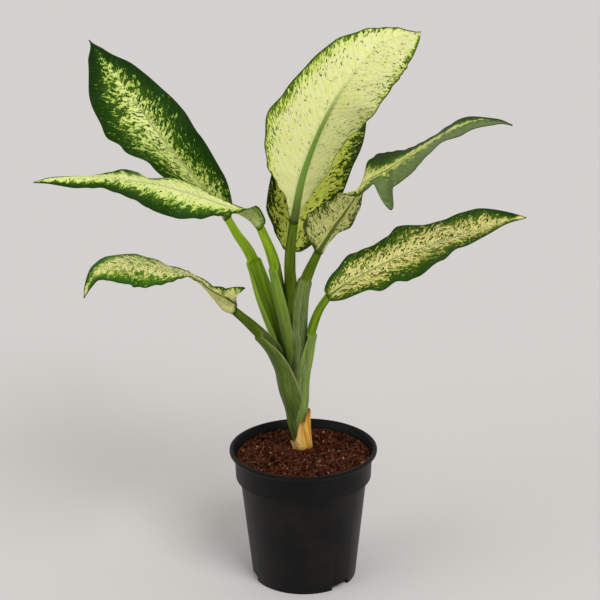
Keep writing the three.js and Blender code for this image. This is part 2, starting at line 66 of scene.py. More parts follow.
# Pot: [radius, height] up the outside, over the lip and down the inner wall
POT_FOOT = 42.4
POT_OUTSIDE = [
    (41.9, 0), (42.25, 0.15), (42.45, 0.5), (51.5, 86.2), (51.75, 86.8), (52.1, 87.05), (54.2, 87.15),
    (54.75, 87.35), (55.05, 87.8), (55.15, 88.5), (55.85, 105.4), (56.05, 106.4), (56.6, 107.3),
    (58.7, 108.3), (59.5, 108.7), (59.9, 109.3), (60, 110), (60, 110.8), (59.8, 111.5), (59.2, 111.9),
    (58.4, 112), (57.6, 111.8), (57, 111.3), (56.6, 110.5),
]
POT_INSIDE = [
    (55.6, 108), (54.6, 106), (54.3, 104.5), (53.8, 90), (53.5, 89.4), (50.7, 88.6), (50.3, 88), (41.5, 3),
    (41, 2),
]
NOTCHES = 3
FIRST_NOTCH = math.radians(-46)
NOTCH = {"wide": 18, "deep": 12, "high": 5, "round": 1.5}
POT_CREASE = math.radians(28)

# Soil
SOIL_LEVEL = 105
SOIL_MOUND = 3
MOUND_WIDTH = 26
SOIL_RELIEF = 0.9
COLLAR = (12, 20)
SOIL_WALL = [(0, 2.35), (40.6, 2.35), (49.9, 88.2), (53.4, 89.5), (54.1, 104), (54.2, 105)]
SOIL_GRID = (150, 260)
SOIL_HIDDEN = 0.1
SOIL_BROWNS = [
    (0, 0x0C0300), (0.28, 0x220C03), (0.46, 0x4A2210), (0.62, 0x6C3C26), (0.82, 0x94664A), (1, 0xC0A288),
]

# Loose crumbs and fibres: how near they come to the pot's wall and to the cane
CRUMB_REACH = 53.6
CRUMB_LIMIT = 54.1
FIBRE_REACH = 52
FIBRE_LIMIT = 53.5
CANE_CLEAR = 10
FIBRE_STEPS = 6
CRUMB_CREASE = math.radians(50)

# Cane: [x, y, z, radius]
CANE = [
    (-1, 12, 76, 6), (-1, 12, 98, 6), (-1, 12, 107, 5), (-3, 11, 127, 4), (-4, 10, 145, 3), (-4, 10, 160, 3),
]
CANE_GRID = (90, 40)

# Dry sheath, in degrees and millimetres
DRY = {"from": -150, "to": 62, "inner": 8, "thick": 0.8, "flare": 3, "sunk": 1.5, "low": 113, "high": 139}
DRY_GRID = (190, 60)

# Stalks: the wall of a sheath, and the rows and columns of the grid that is rolled up
SHEATH_WALL = 1.8
STALK_GRID = (110, 72)

# Blades: thickness in the middle and at the margin, half width at the foot and at the tip, the gap to the
# stalk, the keel under the midrib, the groove over it, how soon the surface turns beside it, the round of the
# margin and where its dark line begins and is full, and slow waves that keep the blade from lying smooth
BLADE_THICK = 0.7
MARGIN_THICK = 0.5
NECK = 3.6
TIP_HALF = 0.6
GAP = 0.35
KEEL = {"wide": 3.1, "deep": 4.2, "tip_wide": 0.4, "tip_deep": 1}
GROOVE = {"wide": 1.4, "deep": 0.5}
MIDRIB_TURN = 2.5
EDGE_ROUND = 0.8
MARGIN_MARK = (1.6, 0.5)
STIR = {"high": 0.3, "long": 9}
BLADE_GRID = (180, 144)
BLADE_CREASE = math.radians(70)

# Side veins: how far each leans to the tip for 1 mm out from the midrib, and how much more with every mm
VEIN_LEAN = 0.55
VEIN_BEND = 0.01

# Every leaf. The foot of its stalk is open on the side away from `out`, in degrees. The petiole and midrib
# are [x, y, z]; the stalk is [share, radius, half spread, hollow]; the form is [share, turn, lift left,
# curl left, width left, lift right, curl right, width right]. The outline is how fast the width rises and
# falls, and the wave is [depth, waves, left phase, right phase].
# The look's zones are [share, how far the pale part reaches to the left and to the right margin, flecks].
# It also says how strong the round blots are, how gradually pale turns green (soft), how fine the flecks are
# (grain), how wide the midrib is (rib), where it fades (rib_end) and its colours near the foot and the tip.
# Two leaves have more: how green the underside is where the foot curls up, and the shares from and to which
# a grey-green waxy bloom with painted sheen comes in.
LEAVES = [
    {
        "name": "top", "out": -110, "outline": (0.5, 0.6), "wave": (1, 2.5, 0.2, 0), "tones": "painted_backlight",
        "petiole": [(-4, 10, 166), (-5, 10, 180), (-7, 8, 204), (-9, 2, 245), (-9, -6, 279), (-6, -12, 307)],
        "stalk": [(0, 4, 140, 0), (0.3, 6, 140, 0), (0.7, 4.5, 150, 0), (1, 3.5, 150, 0)],
        "midrib": [
            (-6, -12, 307), (2, -20, 349), (18, -28, 392), (36, -30, 424), (55, -27, 446), (72, -23, 455),
            (90, -18, 457),
        ],
        "form": [
            (0, 180, 75, 0, 34, 30, 0, 6), (0.09, 180, 63, 0, 34, 21, 0, 11),
            (0.14, 180, 57, 0, 33, 16, 0, 22), (0.2, 180, 50, 0, 29, 12, 0, 32),
            (0.28, 180, 47, 0, 26, 12, 0, 37), (0.38, 180, 42, -4, 27, 11, 0, 41),
            (0.48, 180, 39, -5, 33, 10, 0, 36), (0.62, 180, 18, 0, 32, 12, 0, 33),
            (0.73, 180, 12, 0, 35, 12, 0, 31), (0.82, 180, 8, 0, 40, 12, 0, 24),
            (0.87, 180, 7, 0, 45, 10, 0, 17.5), (0.91, 180, 6, 0, 49, 8, 0, 14),
            (0.96, 180, 5, 0, 56, 6, 0, 7), (1, 180, 5, 0, 48, 5, 0, 2),
        ],
        "look": {
            "zones": [
                (0, 1.3, 1.1, 0.25), (0.25, 1.25, 1.0, 0.5), (0.5, 1.15, 0.94, 0.65),
                (0.75, 1.06, 0.93, 0.75), (0.9, 0.98, 0.9, 0.85), (1, 0.7, 0.7, 0.95),
            ],
            "blots": 0.5, "soft": 0.3, "grain": 1.0, "seed": 1.7, "rib": 1.25, "rib_end": 0.72,
            "midrib": (0x6E9C2A, 0x88AE3E),
        },
    },
    {
        "name": "back", "out": 80, "outline": (0.5, 0.8), "wave": (1.5, 2.5, 0.2, 0), "tones": "olive_painted_shade",
        "petiole": [(-4, 11, 166), (-4, 14, 180), (-5, 17, 208), (-7, 18, 242), (-10, 19, 273)],
        "stalk": [(0, 4, 140, 0), (0.3, 4, 150, 0), (1, 3.3, 150, 0)],
        "midrib": [(-10, 19, 273), (-3, 31, 302), (12, 50, 335), (32, 75, 366), (49, 104, 394)],
        "form": [
            (0, 0, 30, 0, 12, 25, 0, 28), (0.09, 0, 24, 0, 20, 16, 0, 28), (0.18, 0, 19, 0, 27, 10, 0, 26),
            (0.5, 0, 15, 0, 32, 10, 0, 27), (0.7, 0, 11, 0, 31, 8, 0, 30), (1, 0, 5, 0, 30, 5, 0, 30),
        ],
        "look": {
            "zones": [
                (0, 0.95, 0.92, 1.0), (0.5, 0.93, 0.84, 0.95), (0.8, 0.85, 0.74, 0.9), (1, 0.3, 0.3, 1.0),
            ],
            "blots": 1.3, "soft": 0.4, "grain": 0.6, "seed": 4.1, "rib": 0.8, "rib_end": 0.8,
            "midrib": (0x8A9A3A, 0x5C701C),
        },
    },
    {
        "name": "left", "out": 185, "outline": (0.5, 0.8), "wave": (1, 3.5, 0.2, 0), "tones": "plain",
        "petiole": [
            (-4, 10, 158), (-6, 8, 172), (-10, 4, 204), (-16, 0, 243), (-23, -2, 276), (-32, -2, 300),
        ],
        "stalk": [
            (0, 4, 125, 1), (0.3, 6, 120, 0.8), (0.56, 7, 115, 0.6), (0.75, 6, 115, 0.4), (0.77, 4.5, 150, 0),
            (1, 3.4, 150, 0),
        ],
        "midrib": [
            (-32, -2, 300), (-43, -6, 312), (-69, -14, 326), (-105, -26, 341.5), (-144, -38, 351.5),
            (-184, -48, 354.5), (-200, -52, 353),
        ],
        "form": [
            (0, 48, 95, 0, 14, 70, 0, 9), (0.05, 48, 91, -3, 15, 60, 0, 8), (0.09, 48, 83, -8, 20, 38, 0, 1),
            (0.135, 48, 62, -14, 26, 15, 0, 1), (0.18, 48, 36, -18, 10, 0, 0, 3),
            (0.23, 48, 14, -21, 14, -14, -1, 8), (0.31, 48, 5, -31, 19.5, -13, -8, 14),
            (0.4, 48, -2, -40, 22, -12, -15, 18), (0.5, 48, 0, -25, 24, -25, -10, 22),
            (0.55, 48, 5, -20, 26, -21, -10, 27), (0.62, 48, 13, -10, 29, -15, -10, 21),
            (0.68, 48, 10, -12, 20, -17, -10, 16), (0.73, 48, 5, -14, 13, -21, -10, 16),
            (0.78, 48, 0, -15, 15, -25, -10, 15), (0.86, 48, 1, -10, 22, -18, -10, 8),
            (1, 48, 5, 0, 24, 0, -10, 8),
        ],
        "look": {
            "zones": [
                (0, 0.9, 0.95, 0.7), (0.2, 0.74, 1.1, 0.7), (0.4, 0.58, 1.02, 0.75), (0.6, 0.46, 0.62, 0.9),
                (0.75, 0.46, 0.92, 0.8), (1, 0.5, 0.9, 0.8),
            ],
            "blots": 0.25, "curl": 0.5, "soft": 0.45, "grain": 1.0, "seed": 7.9, "rib": 0.55, "rib_end": 0.85,
            "midrib": (0xC8CE98, 0x8FA45A),
        },
    },
    {
        "name": "back_left", "out": 140, "outline": (0.5, 0.8), "wave": (1.5, 2.5, 0, 0.3), "tones": "deep",
        "petiole": [
            (-4, 10, 152), (-7, 11, 168), (-18, 14, 200), (-29, 16, 236), (-40, 20, 269), (-51, 24, 286),
            (-58, 26, 298),
        ],
        "stalk": [
            (0, 5, 125, 1), (0.3, 7, 120, 0.7), (0.55, 8, 110, 0.4), (0.75, 6.4, 110, 0.3),
            (0.77, 4.4, 150, 0), (1, 3.1, 150, 0),
        ],
        "midrib": [
            (-58, 26, 298), (-69, 32, 312), (-94, 46, 338), (-118, 62, 365), (-142, 78, 395), (-169, 92, 429),
        ],
        "form": [
            (0, 10, 75, 0, 30, 55, 0, 22), (0.15, 5, 68, 0, 34, 40, -5, 24),
            (0.35, 0, 62, 0, 36, 28, -5, 26.5), (0.5, 0, 38, 0, 37, 20, -5, 28),
            (0.65, 0, 0, 5, 39, 5, -5, 27), (0.8, 0, 5, 0, 45, 5, -5, 27), (0.93, 0, 0, 0, 38, 0, 0, 18),
            (1, 0, 0, 0, 8, 0, 0, 8),
        ],
        "look": {
            "zones": [
                (0, 0.52, 0.66, 1.3), (0.13, 0.6, 0.6, 1.3), (0.24, 0.6, 0.42, 1.3), (0.33, 0.6, 0.24, 1.3),
                (0.46, 0.64, 0.36, 1.3), (0.6, 0.56, 0.4, 1.3), (0.77, 0.38, 0.3, 1.2),
                (0.88, 0.05, 0.0, 1.1), (1, -0.4, -0.4, 1.0),
            ],
            "blots": 0.75, "soft": 0.5, "grain": 0.9, "seed": 2.3, "rib": 0.6, "rib_end": 0.75,
            "midrib": (0xC0CC84, 0x2E4A14),
        },
    },
    {
        "name": "right", "out": -50, "outline": (0.5, 0.8), "wave": (1, 3, 0.2, 0), "tones": "shaded",
        "petiole": [
            (-4, 10, 143), (-4, 9, 160), (-3, 6, 180), (-3, 4, 201), (-2, 2, 232), (1, 1, 249), (6, 1, 263),
            (13, 2, 278),
        ],
        "stalk": [
            (0, 6, 125, 1), (0.2, 7, 120, 1), (0.64, 7, 115, 0.9), (0.81, 5.9, 110, 0.7), (0.83, 4.4, 150, 0),
            (1, 3.3, 150, 0),
        ],
        "midrib": [
            (13, 2, 278), (28, -4, 305), (46, -14, 337), (68, -24, 354), (97, -34, 377), (125, -42, 394),
            (145, -48, 396.5), (157, -52, 394),
        ],
        "form": [
            (0, -180, 55, 0, 3, 30, 0, 52), (0.09, -176, 41, 0, 5.5, 19, 0, 31),
            (0.14, -175, 35, 0, 14.5, 15, 0, 21.5), (0.2, -151, 26, 0, 16, 15, 0, 15.5),
            (0.27, -120, 15, 0, 19, 15, 0, 17), (0.37, -78, 10, 0, 27, -5, 0, 20),
            (0.41, -66, 8, 0, 24, -8, -5, 8), (0.4545, -60, 5, 0, 20, -20, -10, 34),
            (0.5, -63, 5, 0, 17, -3, 0, 25), (0.55, -68, 0, 0, 14.5, -3, 0, 29),
            (0.6, -72, -2, 0, 12, -4, 0, 33), (0.64, -75, -6, 0, 12, -4, 0, 35),
            (0.68, -75, -10, 0, 17, -3, 0, 32), (0.73, -70, -10, 0, 22, 2, 0, 24),
            (0.82, -62, 0, 0, 17, 0, 0, 29), (0.91, -63, 0, 0, 12, 0, 0, 34), (1, -65, 0, 0, 12, 0, 0, 24),
        ],
        "look": {
            "zones": [
                (0, 1.25, 1.2, 1.25), (0.3, 1.1, 1.1, 1.15), (0.37, 0.6, 0.6, 0.7), (0.42, 0.3, 0.15, 0.5),
                (0.6, 0.3, 0.35, 0.4), (0.8, 0.25, 0.2, 0.5), (0.9, 0.05, 0.0, 0.6), (1, -0.3, -0.3, 0.6),
            ],
            "blots": 0.8, "soft": 0.45, "grain": 0.8, "seed": 5.2, "rib": 0.6, "rib_end": 0.8,
            "midrib": (0x5A6A20, 0x7A6A30), "bloom_and_sheen": (0.33, 0.44),
        },
    },
    {
        "name": "low_right", "out": -15, "outline": (0.5, 0.8), "wave": (3, 2.5, 0.2, 0), "tones": "creamy",
        "petiole": [
            (-3, 11, 128), (-4, 10, 145), (-3, 8, 163), (1, 4, 184), (7, -3, 213), (13, -10, 233),
            (20, -14, 246),
        ],
        "stalk": [
            (0, 7, 130, 1), (0.2, 9, 120, 1), (0.45, 7, 110, 0.9), (0.68, 5.5, 110, 0.7), (0.7, 3.8, 150, 0),
            (1, 3.1, 150, 0),
        ],
        "midrib": [
            (20, -14, 246), (36, -14, 258), (75, -8, 277), (119, 0, 290), (158, 8, 300), (177, 12, 302),
        ],
        "form": [
            (0, -50, 40, 0, 12, 20, 0, 22), (0.09, -50, 34, 0, 15, 11, 0, 29),
            (0.18, -50, 27, 0, 21, 5, -1, 22), (0.23, -50, 24, 0, 19, 5, -2, 27),
            (0.31, -50, 18, 0, 17, 5, -4, 21), (0.37, -50, 14, 0, 18, 5, -5, 28),
            (0.43, -50, 11, 0, 24, 5, -5, 31), (0.54, -50, 7, 0, 23, 9, -3, 29),
            (0.64, -50, 6, 0, 26, 18, 0, 21), (0.73, -50, 10, 0, 28, 19, 0, 21),
            (0.82, -50, 15, 0, 29.5, 20, 0, 26), (1, -50, 10, 0, 26, 20, 0, 20),
        ],
        "look": {
            "zones": [
                (0, 0.48, 0.56, 1.4), (0.1, 0.6, 0.66, 1.4), (0.2, 0.68, 0.74, 1.4), (0.36, 0.62, 0.52, 1.4),
                (0.46, 0.78, 0.46, 1.3), (0.6, 0.8, 0.56, 1.3), (0.72, 0.64, 0.7, 1.3),
                (0.86, 0.42, 0.66, 1.2), (0.94, 0.05, 0.15, 0.8), (1, 1.3, 1.3, 0.4),
            ],
            "blots": 0.8, "soft": 0.4, "grain": 1.0, "seed": 3.4, "rib": 0.5, "rib_end": 0.9,
            "midrib": (0x93A452, 0x7E8E48),
        },
    },
    {
        "name": "low_left", "out": 195, "outline": (0.5, 0.8), "wave": (1, 2.5, 0.2, 0), "tones": "mottled",
        "petiole": [
            (-1, 12, 112), (-3, 11, 130), (-5, 9, 149), (-10, 4, 170), (-20, -4, 197), (-38, -11, 220),
            (-53, -13, 235),
        ],
        "stalk": [
            (0, 7, 60, 1), (0.15, 10, 70, 1), (0.35, 12, 110, 1), (0.55, 9, 115, 1), (0.79, 6.4, 110, 0.8),
            (0.81, 4.5, 150, 0), (1, 3.3, 150, 0),
        ],
        "midrib": [
            (-53, -13, 235), (-60, -17, 239), (-66, -22, 248), (-71, -28, 257), (-77, -35, 267),
            (-83, -40, 273), (-87, -45, 277), (-98, -55, 282), (-128, -70, 294), (-142, -80, 297),
            (-153, -86, 293), (-159, -90, 284), (-162, -92, 275),
        ],
        "form": [
            (0, 50, 100, 0, 12, 70, 0, 12), (0.045, 50, 98, 0, 11, 62, 0, 37),
            (0.09, 50, 95, 0, 10, 52, 0, 27), (0.14, 50, 88, 0, 9, 35, 0, 9), (0.2, 50, 70, 0, 8, 10, 0, 2),
            (0.3, 50, 40, 0, 3, -5, 0, 1.5), (0.36, 50, 20, 0, 3.5, -15, -5, 3),
            (0.41, 50, 14, -10, 3, -18, -10, 14), (0.455, 50, 8, -20, 4.8, -20, -15, 22),
            (0.5, 49, 6, -23, 9, -19, -15, 20), (0.55, 47, 5, -25, 13.5, -18, -15, 18.5),
            (0.64, 45, 5, -30, 21, -14, -14, 20.5), (0.73, 45, 5, -20, 29, -13, -12, 18.5),
            (0.78, 45, 5, -13, 37, -12, -10, 21.5), (0.82, 45, 5, -9, 40, -12, -10, 23),
            (0.86, 45, 4, -7, 34, -10, -8, 21), (0.91, 45, 3, -5, 20, -8, -5, 17),
            (1, 45, 0, 0, 18, -5, 0, 14),
        ],
        "look": {
            "zones": [
                (0, 1.1, 1.1, 0.7), (0.2, 1.0, 0.8, 1.1), (0.38, 0.7, 0.85, 1.25), (0.5, 0.68, 1.0, 1.35),
                (0.7, 0.66, 0.92, 1.35), (0.82, 0.48, 0.45, 1.1), (0.93, 0.2, 0.2, 0.7), (1, 1.1, 1.1, 0.6),
            ],
            "blots": 1.0, "soft": 0.45, "grain": 1.15, "seed": 8.6, "rib": 0.5, "rib_end": 0.75,
            "midrib": (0xB4B878, 0x8C9A50),
        },
    },
]


def rgb(code):
    """A linear colour from its usual six-digit code."""
    parts = [((code >> shift) & 255) / 255 for shift in (16, 8, 0)]
    return tuple(p / 12.92 if p <= 0.04045 else ((p + 0.055) / 1.055) ** 2.4 for p in parts)


# How waxy a stalk's sheath is, with painted sheen in the wax, how light its green is, with painted light and
# shade in it, and how much darker painted shade makes it low in the crowd
PLAIN_STALK = (0.08, 0.9, 0.1)
STALK_TONES = {
    "right": (0.42, 0.84, 0.2), "low_left": (0.12, 0.62, 0), "left": (0.4, 1.8, 0.65),
    "back_left": (0.2, 2.3, 0.35), "low_right": (0.45, 1.5, 0.1), "top": (0.02, 0.72, 0.2),
}

# Blade colours from the margin's green to the palest centre, at these places on the ramp. The top blade's
# ramp is brighter still, with painted light coming through it from behind
TONE_PLACES = (0, 0.25, 0.45, 0.6, 0.8, 1)
TONES = {
    "plain": (0x14340A, 0x2A4E0A, 0x62902A, 0xA6C648, 0xD6EA72, 0xF6FCAA),
    "deep": (0x102E04, 0x244A06, 0x587A1E, 0x98B242, 0xCEE26C, 0xF0F9A2),
    "creamy": (0x1C3E0A, 0x3A5E10, 0x7E8E2C, 0xBCBE54, 0xDCD674, 0xF0E69A),
    "mottled": (0x224E0A, 0x427216, 0x7CA036, 0xB4C652, 0xD2DA6E, 0xEEE8A0),
    "shaded": (0x10280A, 0x2C4C0A, 0x6E8A2E, 0xB6C454, 0xD8E078, 0xF4F4A0),
    "painted_backlight": (0x245808, 0x5E8418, 0x9CBA3C, 0xE4F06C, 0xF6FE8A, 0xFFFFC6),
    # The back blade's ramp is its own olive, darkened by painted shade
    "olive_painted_shade": (0x0A1600, 0x1C2E02, 0x5C7010, 0x98A62C, 0xB2BC3E, 0xCCD460),
}

# The other colours, apart from the settings
PAINTS = {
    # The crowded sheath colour is painted shade, and the blade and sheath bloom colours hold painted sheen
    # beside the waxy grey
    "curled foot": 0x6F9638, "blade bloom": 0x8CA266, "sheath bloom": 0xB9BFA8, "painted crowd shade": 0x3A5408,
    "sheath edge": 0xA9AE74, "dark straw": 0xD88A1C, "light straw": 0xFFD25C, "bleached straw": 0xF0D28A,
    "damp straw": 0x5A3C1C, "torn straw": 0x8A4508, "dust": 0x6B6258, "light cane": 0x9DA45A,
    "dark cane": 0x6B7438,
}


def paint(name):
    return rgb(PAINTS[name])


# Curves and frames

def smoothstep(x, low, high):
    t = np.clip((np.asarray(x, float) - low) / (high - low), 0, 1)
    return t * t * (3 - 2 * t)


def lerp(a, b, t):
    return a + (b - a) * t


def unit(v):
    return v / np.linalg.norm(v, axis=-1, keepdims=True)


def square_to(direction, axis):
    """The part of a direction that is square to the axis."""
    return unit(direction - np.sum(direction * axis, -1, keepdims=True) * axis)


class Curve:
    """A smooth curve through points, read by its share of the length."""

    SAMPLES = 400
    STEP = 1e-3

    def __init__(self, points):
        p = np.array(points, float)
        self.knots = np.vstack([2 * p[0] - p[1], p, 2 * p[-1] - p[-2]])
        self.t = np.linspace(0, 1, self.SAMPLES + 1)
        steps = np.linalg.norm(np.diff(self.at(self.t), axis=0), axis=1)
        self.run = np.concatenate([[0], np.cumsum(steps)])
        self.length = self.run[-1]

    def at(self, t):
        spans = len(self.knots) - 3
        k = np.clip((t * spans).astype(int), 0, spans - 1)
        w = (t * spans - k)[:, None]
        a, b, c, d = (self.knots[k + i] for i in range(4))
        leave, arrive = 0.5 * (c - a), 0.5 * (d - b)
        square, cube = 3 * c - 3 * b - 2 * leave - arrive, 2 * b - 2 * c + leave + arrive
        return b + leave * w + square * w**2 + cube * w**3

    def point(self, share):
        return self.at(np.interp(np.atleast_1d(share) * self.length, self.run, self.t))

    def tangent(self, share):
        share = np.atleast_1d(share)
        ahead, behind = np.minimum(share + self.STEP, 1), np.maximum(share - self.STEP, 0)
        return unit(self.point(ahead) - self.point(behind))


def eased(rows, share):
    """The rows' values at each share, eased from one row to the next, one array for each column."""
    table = np.array(rows, float)
    k = np.clip(np.searchsorted(table[:, 0], share, "left") - 1, 0, len(table) - 2)
    span = table[k + 1, 0] - table[k, 0]
    mix = smoothstep((share - table[k, 0]) / span, 0, 1)
    return [lerp(table[k, c], table[k + 1, c], mix) for c in range(1, table.shape[1])]


def blade_frame(axis, turn):
    """The blade's upper side and its right at points of its midrib."""
    plain = square_to(np.broadcast_to(FACING, axis.shape), axis)
    side = np.cross(axis, plain)
    c, s = (f(np.radians(turn))[..., None] for f in (np.cos, np.sin))
    return plain * c + side * s, side * c - plain * s


def outline_at(outline, share):
    """A blade's width at each share of its length, 1 where it is widest."""
    rise, fall = outline
    peak = rise / (rise + fall)
    share = np.clip(share, 0, 1)
    return share**rise * (1 - share) ** fall / (peak**rise * (1 - peak) ** fall)


# Mesh making

def new_piece(name, add, **sizes):
    """Adds a primitive with nothing else selected, and names it."""
    bpy.ops.object.select_all(action="DESELECT")
    add(**sizes)
    piece = bpy.context.object
    piece.name = piece.data.name = name
    return piece


def select_only(piece):
    bpy.ops.object.select_all(action="DESELECT")
    piece.select_set(True)
    bpy.context.view_layer.objects.active = piece


def apply_all(piece):
    """Applies the place and every modifier of a piece."""
    select_only(piece)
    bpy.ops.object.transform_apply(location=True, rotation=True, scale=True)
    for modifier in list(piece.modifiers):
        bpy.ops.object.modifier_apply(modifier=modifier.name)


def in_edit_mode(piece, *steps):
    """Runs edit mode steps with everything selected."""
    select_only(piece)
    bpy.ops.object.mode_set(mode="EDIT")
    bpy.ops.mesh.select_all(action="SELECT")
    for step, values in steps:
        step(**values)
    bpy.ops.object.mode_set(mode="OBJECT")


FILL_HOLES = (bpy.ops.mesh.fill_holes, {"sides": 0})
FACE_OUT = (bpy.ops.mesh.normals_make_consistent, {"inside": False})


def rolled_piece(name, grid, place):
    """A grid shaped by place(share along, share round), which gives points in mm, UV maps and attributes.
    It comes out rolled up: its seam is merged and its two ends are filled."""
    rows, columns = grid
    piece = new_piece(
        name, bpy.ops.mesh.primitive_grid_add, x_subdivisions=rows, y_subdivisions=columns, size=1)
    mesh = piece.data
    flat = np.zeros(len(mesh.vertices) * 3)
    mesh.vertices.foreach_get("co", flat)
    flat = flat.reshape(-1, 3) + 0.5
    points, maps, marks = place(np.clip(flat[:, 0], 0, 1), np.clip(flat[:, 1], 0, 1))
    mesh.vertices.foreach_set("co", (points * MM).ravel())
    corner = np.zeros(len(mesh.loops), int)
    mesh.loops.foreach_get("vertex_index", corner)
    while mesh.uv_layers:
        mesh.uv_layers.remove(mesh.uv_layers[0])
    for title, (u, v) in maps.items():
        layer = mesh.uv_layers.new(name=title)
        layer.data.foreach_set("uv", np.stack([u[corner], v[corner]], -1).astype(np.float32).ravel())
    for title, value in marks.items():
        mesh.attributes.new(title, "FLOAT", "POINT").data.foreach_set("value", value.astype(np.float32))
    in_edit_mode(piece, (bpy.ops.mesh.remove_doubles, {"threshold": 1e-6}), FILL_HOLES, FACE_OUT)
    return piece


def shade(piece, angle=math.radians(40)):
    """Smooths a piece, but not over edges that turn by more than the angle."""
    select_only(piece)
    bpy.ops.object.shade_smooth_by_angle(angle=angle)


def finish_piece(piece, material, slot, *nodes):
    """Gives a piece its material and its ride, and hides the imported nodes that it takes the place of."""
    piece.data.materials.clear()
    piece.data.materials.append(material)
    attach(piece, "root")
    if nodes:
        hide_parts(*nodes)


# Shader nodes

class Value:
    """A node's output that can be reckoned with: every sum makes a maths node in the same tree."""

    def __init__(self, socket):
        self.socket = socket

    def __add__(self, other):
        return maths("ADD", self, other)

    def __sub__(self, other):
        return maths("SUBTRACT", self, other)

    def __rsub__(self, other):
        return maths("SUBTRACT", other, self)

    def __mul__(self, other):
        return maths("MULTIPLY", self, other)

    def __truediv__(self, other):
        return maths("DIVIDE", self, other)

    def __abs__(self):
        return maths("ABSOLUTE", self)


def give(sockets, values):
    """Sets each socket, or links it where the value is a node's output."""
    for key, value in values.items():
        if isinstance(value, Value):
            sockets[key].id_data.links.new(value.socket, sockets[key])
        else:
            sockets[key].default_value = value


def node(kind, inputs, tree=None, **settings):
    """A node with its settings and inputs, in the tree of the outputs that it takes up."""
    if tree is None:
        tree = next(value.socket.id_data for value in inputs.values() if isinstance(value, Value))
    made = tree.nodes.new(kind)
    for key, setting in settings.items():
        setattr(made, key, setting)
    give(made.inputs, inputs)
    return made


def maths(operation, *values):
    return Value(node("ShaderNodeMath", dict(enumerate(values)), operation=operation).outputs[0])


def step_between(value, low, high, to_low=0.0, to_high=1.0):
    """A smooth step of value from low to high."""
    values = {"Value": value, "From Min": low, "From Max": high, "To Min": to_low, "To Max": to_high}
    return Value(node("ShaderNodeMapRange", values, interpolation_type="SMOOTHSTEP").outputs["Result"])


def noise(vector, scale, detail, roughness=0.5, distortion=0.0):
    values = {"Vector": vector, "Scale": scale, "Detail": detail, "Roughness": roughness}
    return Value(node("ShaderNodeTexNoise", {**values, "Distortion": distortion}).outputs["Fac"])


def centred(noisy, strength):
    """A noise that swings about 0, by half its strength each way."""
    return noisy * strength - 0.5 * strength


def split(vector):
    """The first two parts of a place."""
    parts = node("ShaderNodeSeparateXYZ", {0: vector}).outputs
    return Value(parts["X"]), Value(parts["Y"])


def joined(x, y, z):
    return Value(node("ShaderNodeCombineXYZ", {"X": x, "Y": y, "Z": z}).outputs[0])


def uv_map(tree, name):
    return Value(node("ShaderNodeUVMap", {}, tree, uv_map=name).outputs[0])


def attribute(tree, name):
    return Value(node("ShaderNodeAttribute", {}, tree, attribute_name=name).outputs["Fac"])


def object_place(tree):
    return Value(node("ShaderNodeTexCoord", {}, tree).outputs["Object"])


def ramp(value, stops):
    """A colour for each value. The stops are [place, colour], from low to high."""
    made = node("ShaderNodeValToRGB", {"Fac": value})
    band = made.color_ramp
    band.elements[0].position, band.elements[1].position = stops[0][0], stops[-1][0]
    for place, color in stops[1:-1]:
        band.elements.new(place)
    for element, (place, color) in zip(band.elements, stops):
        element.color = (*color, 1)
    return Value(made.outputs["Color"])


def mixed(fac, a, b):
    """Colour a, turned to colour b by fac."""
    a, b = (color if isinstance(color, Value) else (*color, 1) for color in (a, b))
    made = node("ShaderNodeMix", {0: fac, 6: a, 7: b}, data_type="RGBA", clamp_factor=True)
    return Value(made.outputs[2])


def mixed_value(fac, a, b):
    made = node("ShaderNodeMix", {0: fac, 2: a, 3: b}, data_type="FLOAT", clamp_factor=True)
    return Value(made.outputs[0])


def bump(height, strength, distance):
    values = {"Height": height, "Strength": strength, "Distance": distance}
    return Value(node("ShaderNodeBump", values).outputs["Normal"])


def new_group(name, vectors, values, outputs):
    """A node group with named vectors, and values by their defaults, as inputs, and values as outputs."""
    tree = bpy.data.node_groups.new(name, "ShaderNodeTree")
    for title in vectors:
        tree.interface.new_socket(title, in_out="INPUT", socket_type="NodeSocketVector")
    for title, default in values.items():
        socket = tree.interface.new_socket(title, in_out="INPUT", socket_type="NodeSocketFloat")
        socket.default_value = default
    for title in outputs:
        tree.interface.new_socket(title, in_out="OUTPUT", socket_type="NodeSocketFloat")
    given, out = tree.nodes.new("NodeGroupInput"), tree.nodes.new("NodeGroupOutput")
    return {socket.name: Value(socket) for socket in given.outputs}, out.inputs


def placed_group(group, inputs):
    made = node("ShaderNodeGroup", inputs, node_tree=bpy.data.node_groups[group])
    return {socket.name: Value(socket) for socket in made.outputs}


def new_material(name):
    material = bpy.data.materials.new(name)
    material.use_nodes = True
    tree = material.node_tree
    tree.nodes.clear()
    output = tree.nodes.new("ShaderNodeOutputMaterial")
    shader = tree.nodes.new("ShaderNodeBsdfPrincipled")
    tree.links.new(shader.outputs[0], output.inputs[0])
    return material, tree, shader


def lit_through(shader, color, share):
    """Lets a share of the light come through from behind."""
    front = shader.outputs[0]
    surface = front.links[0].to_socket
    behind = node("ShaderNodeBsdfTranslucent", {"Color": color}).outputs[0]
    both = node("ShaderNodeMixShader", {0: share, 1: Value(front), 2: Value(behind)})
    shader.id_data.links.new(both.outputs[0], surface)


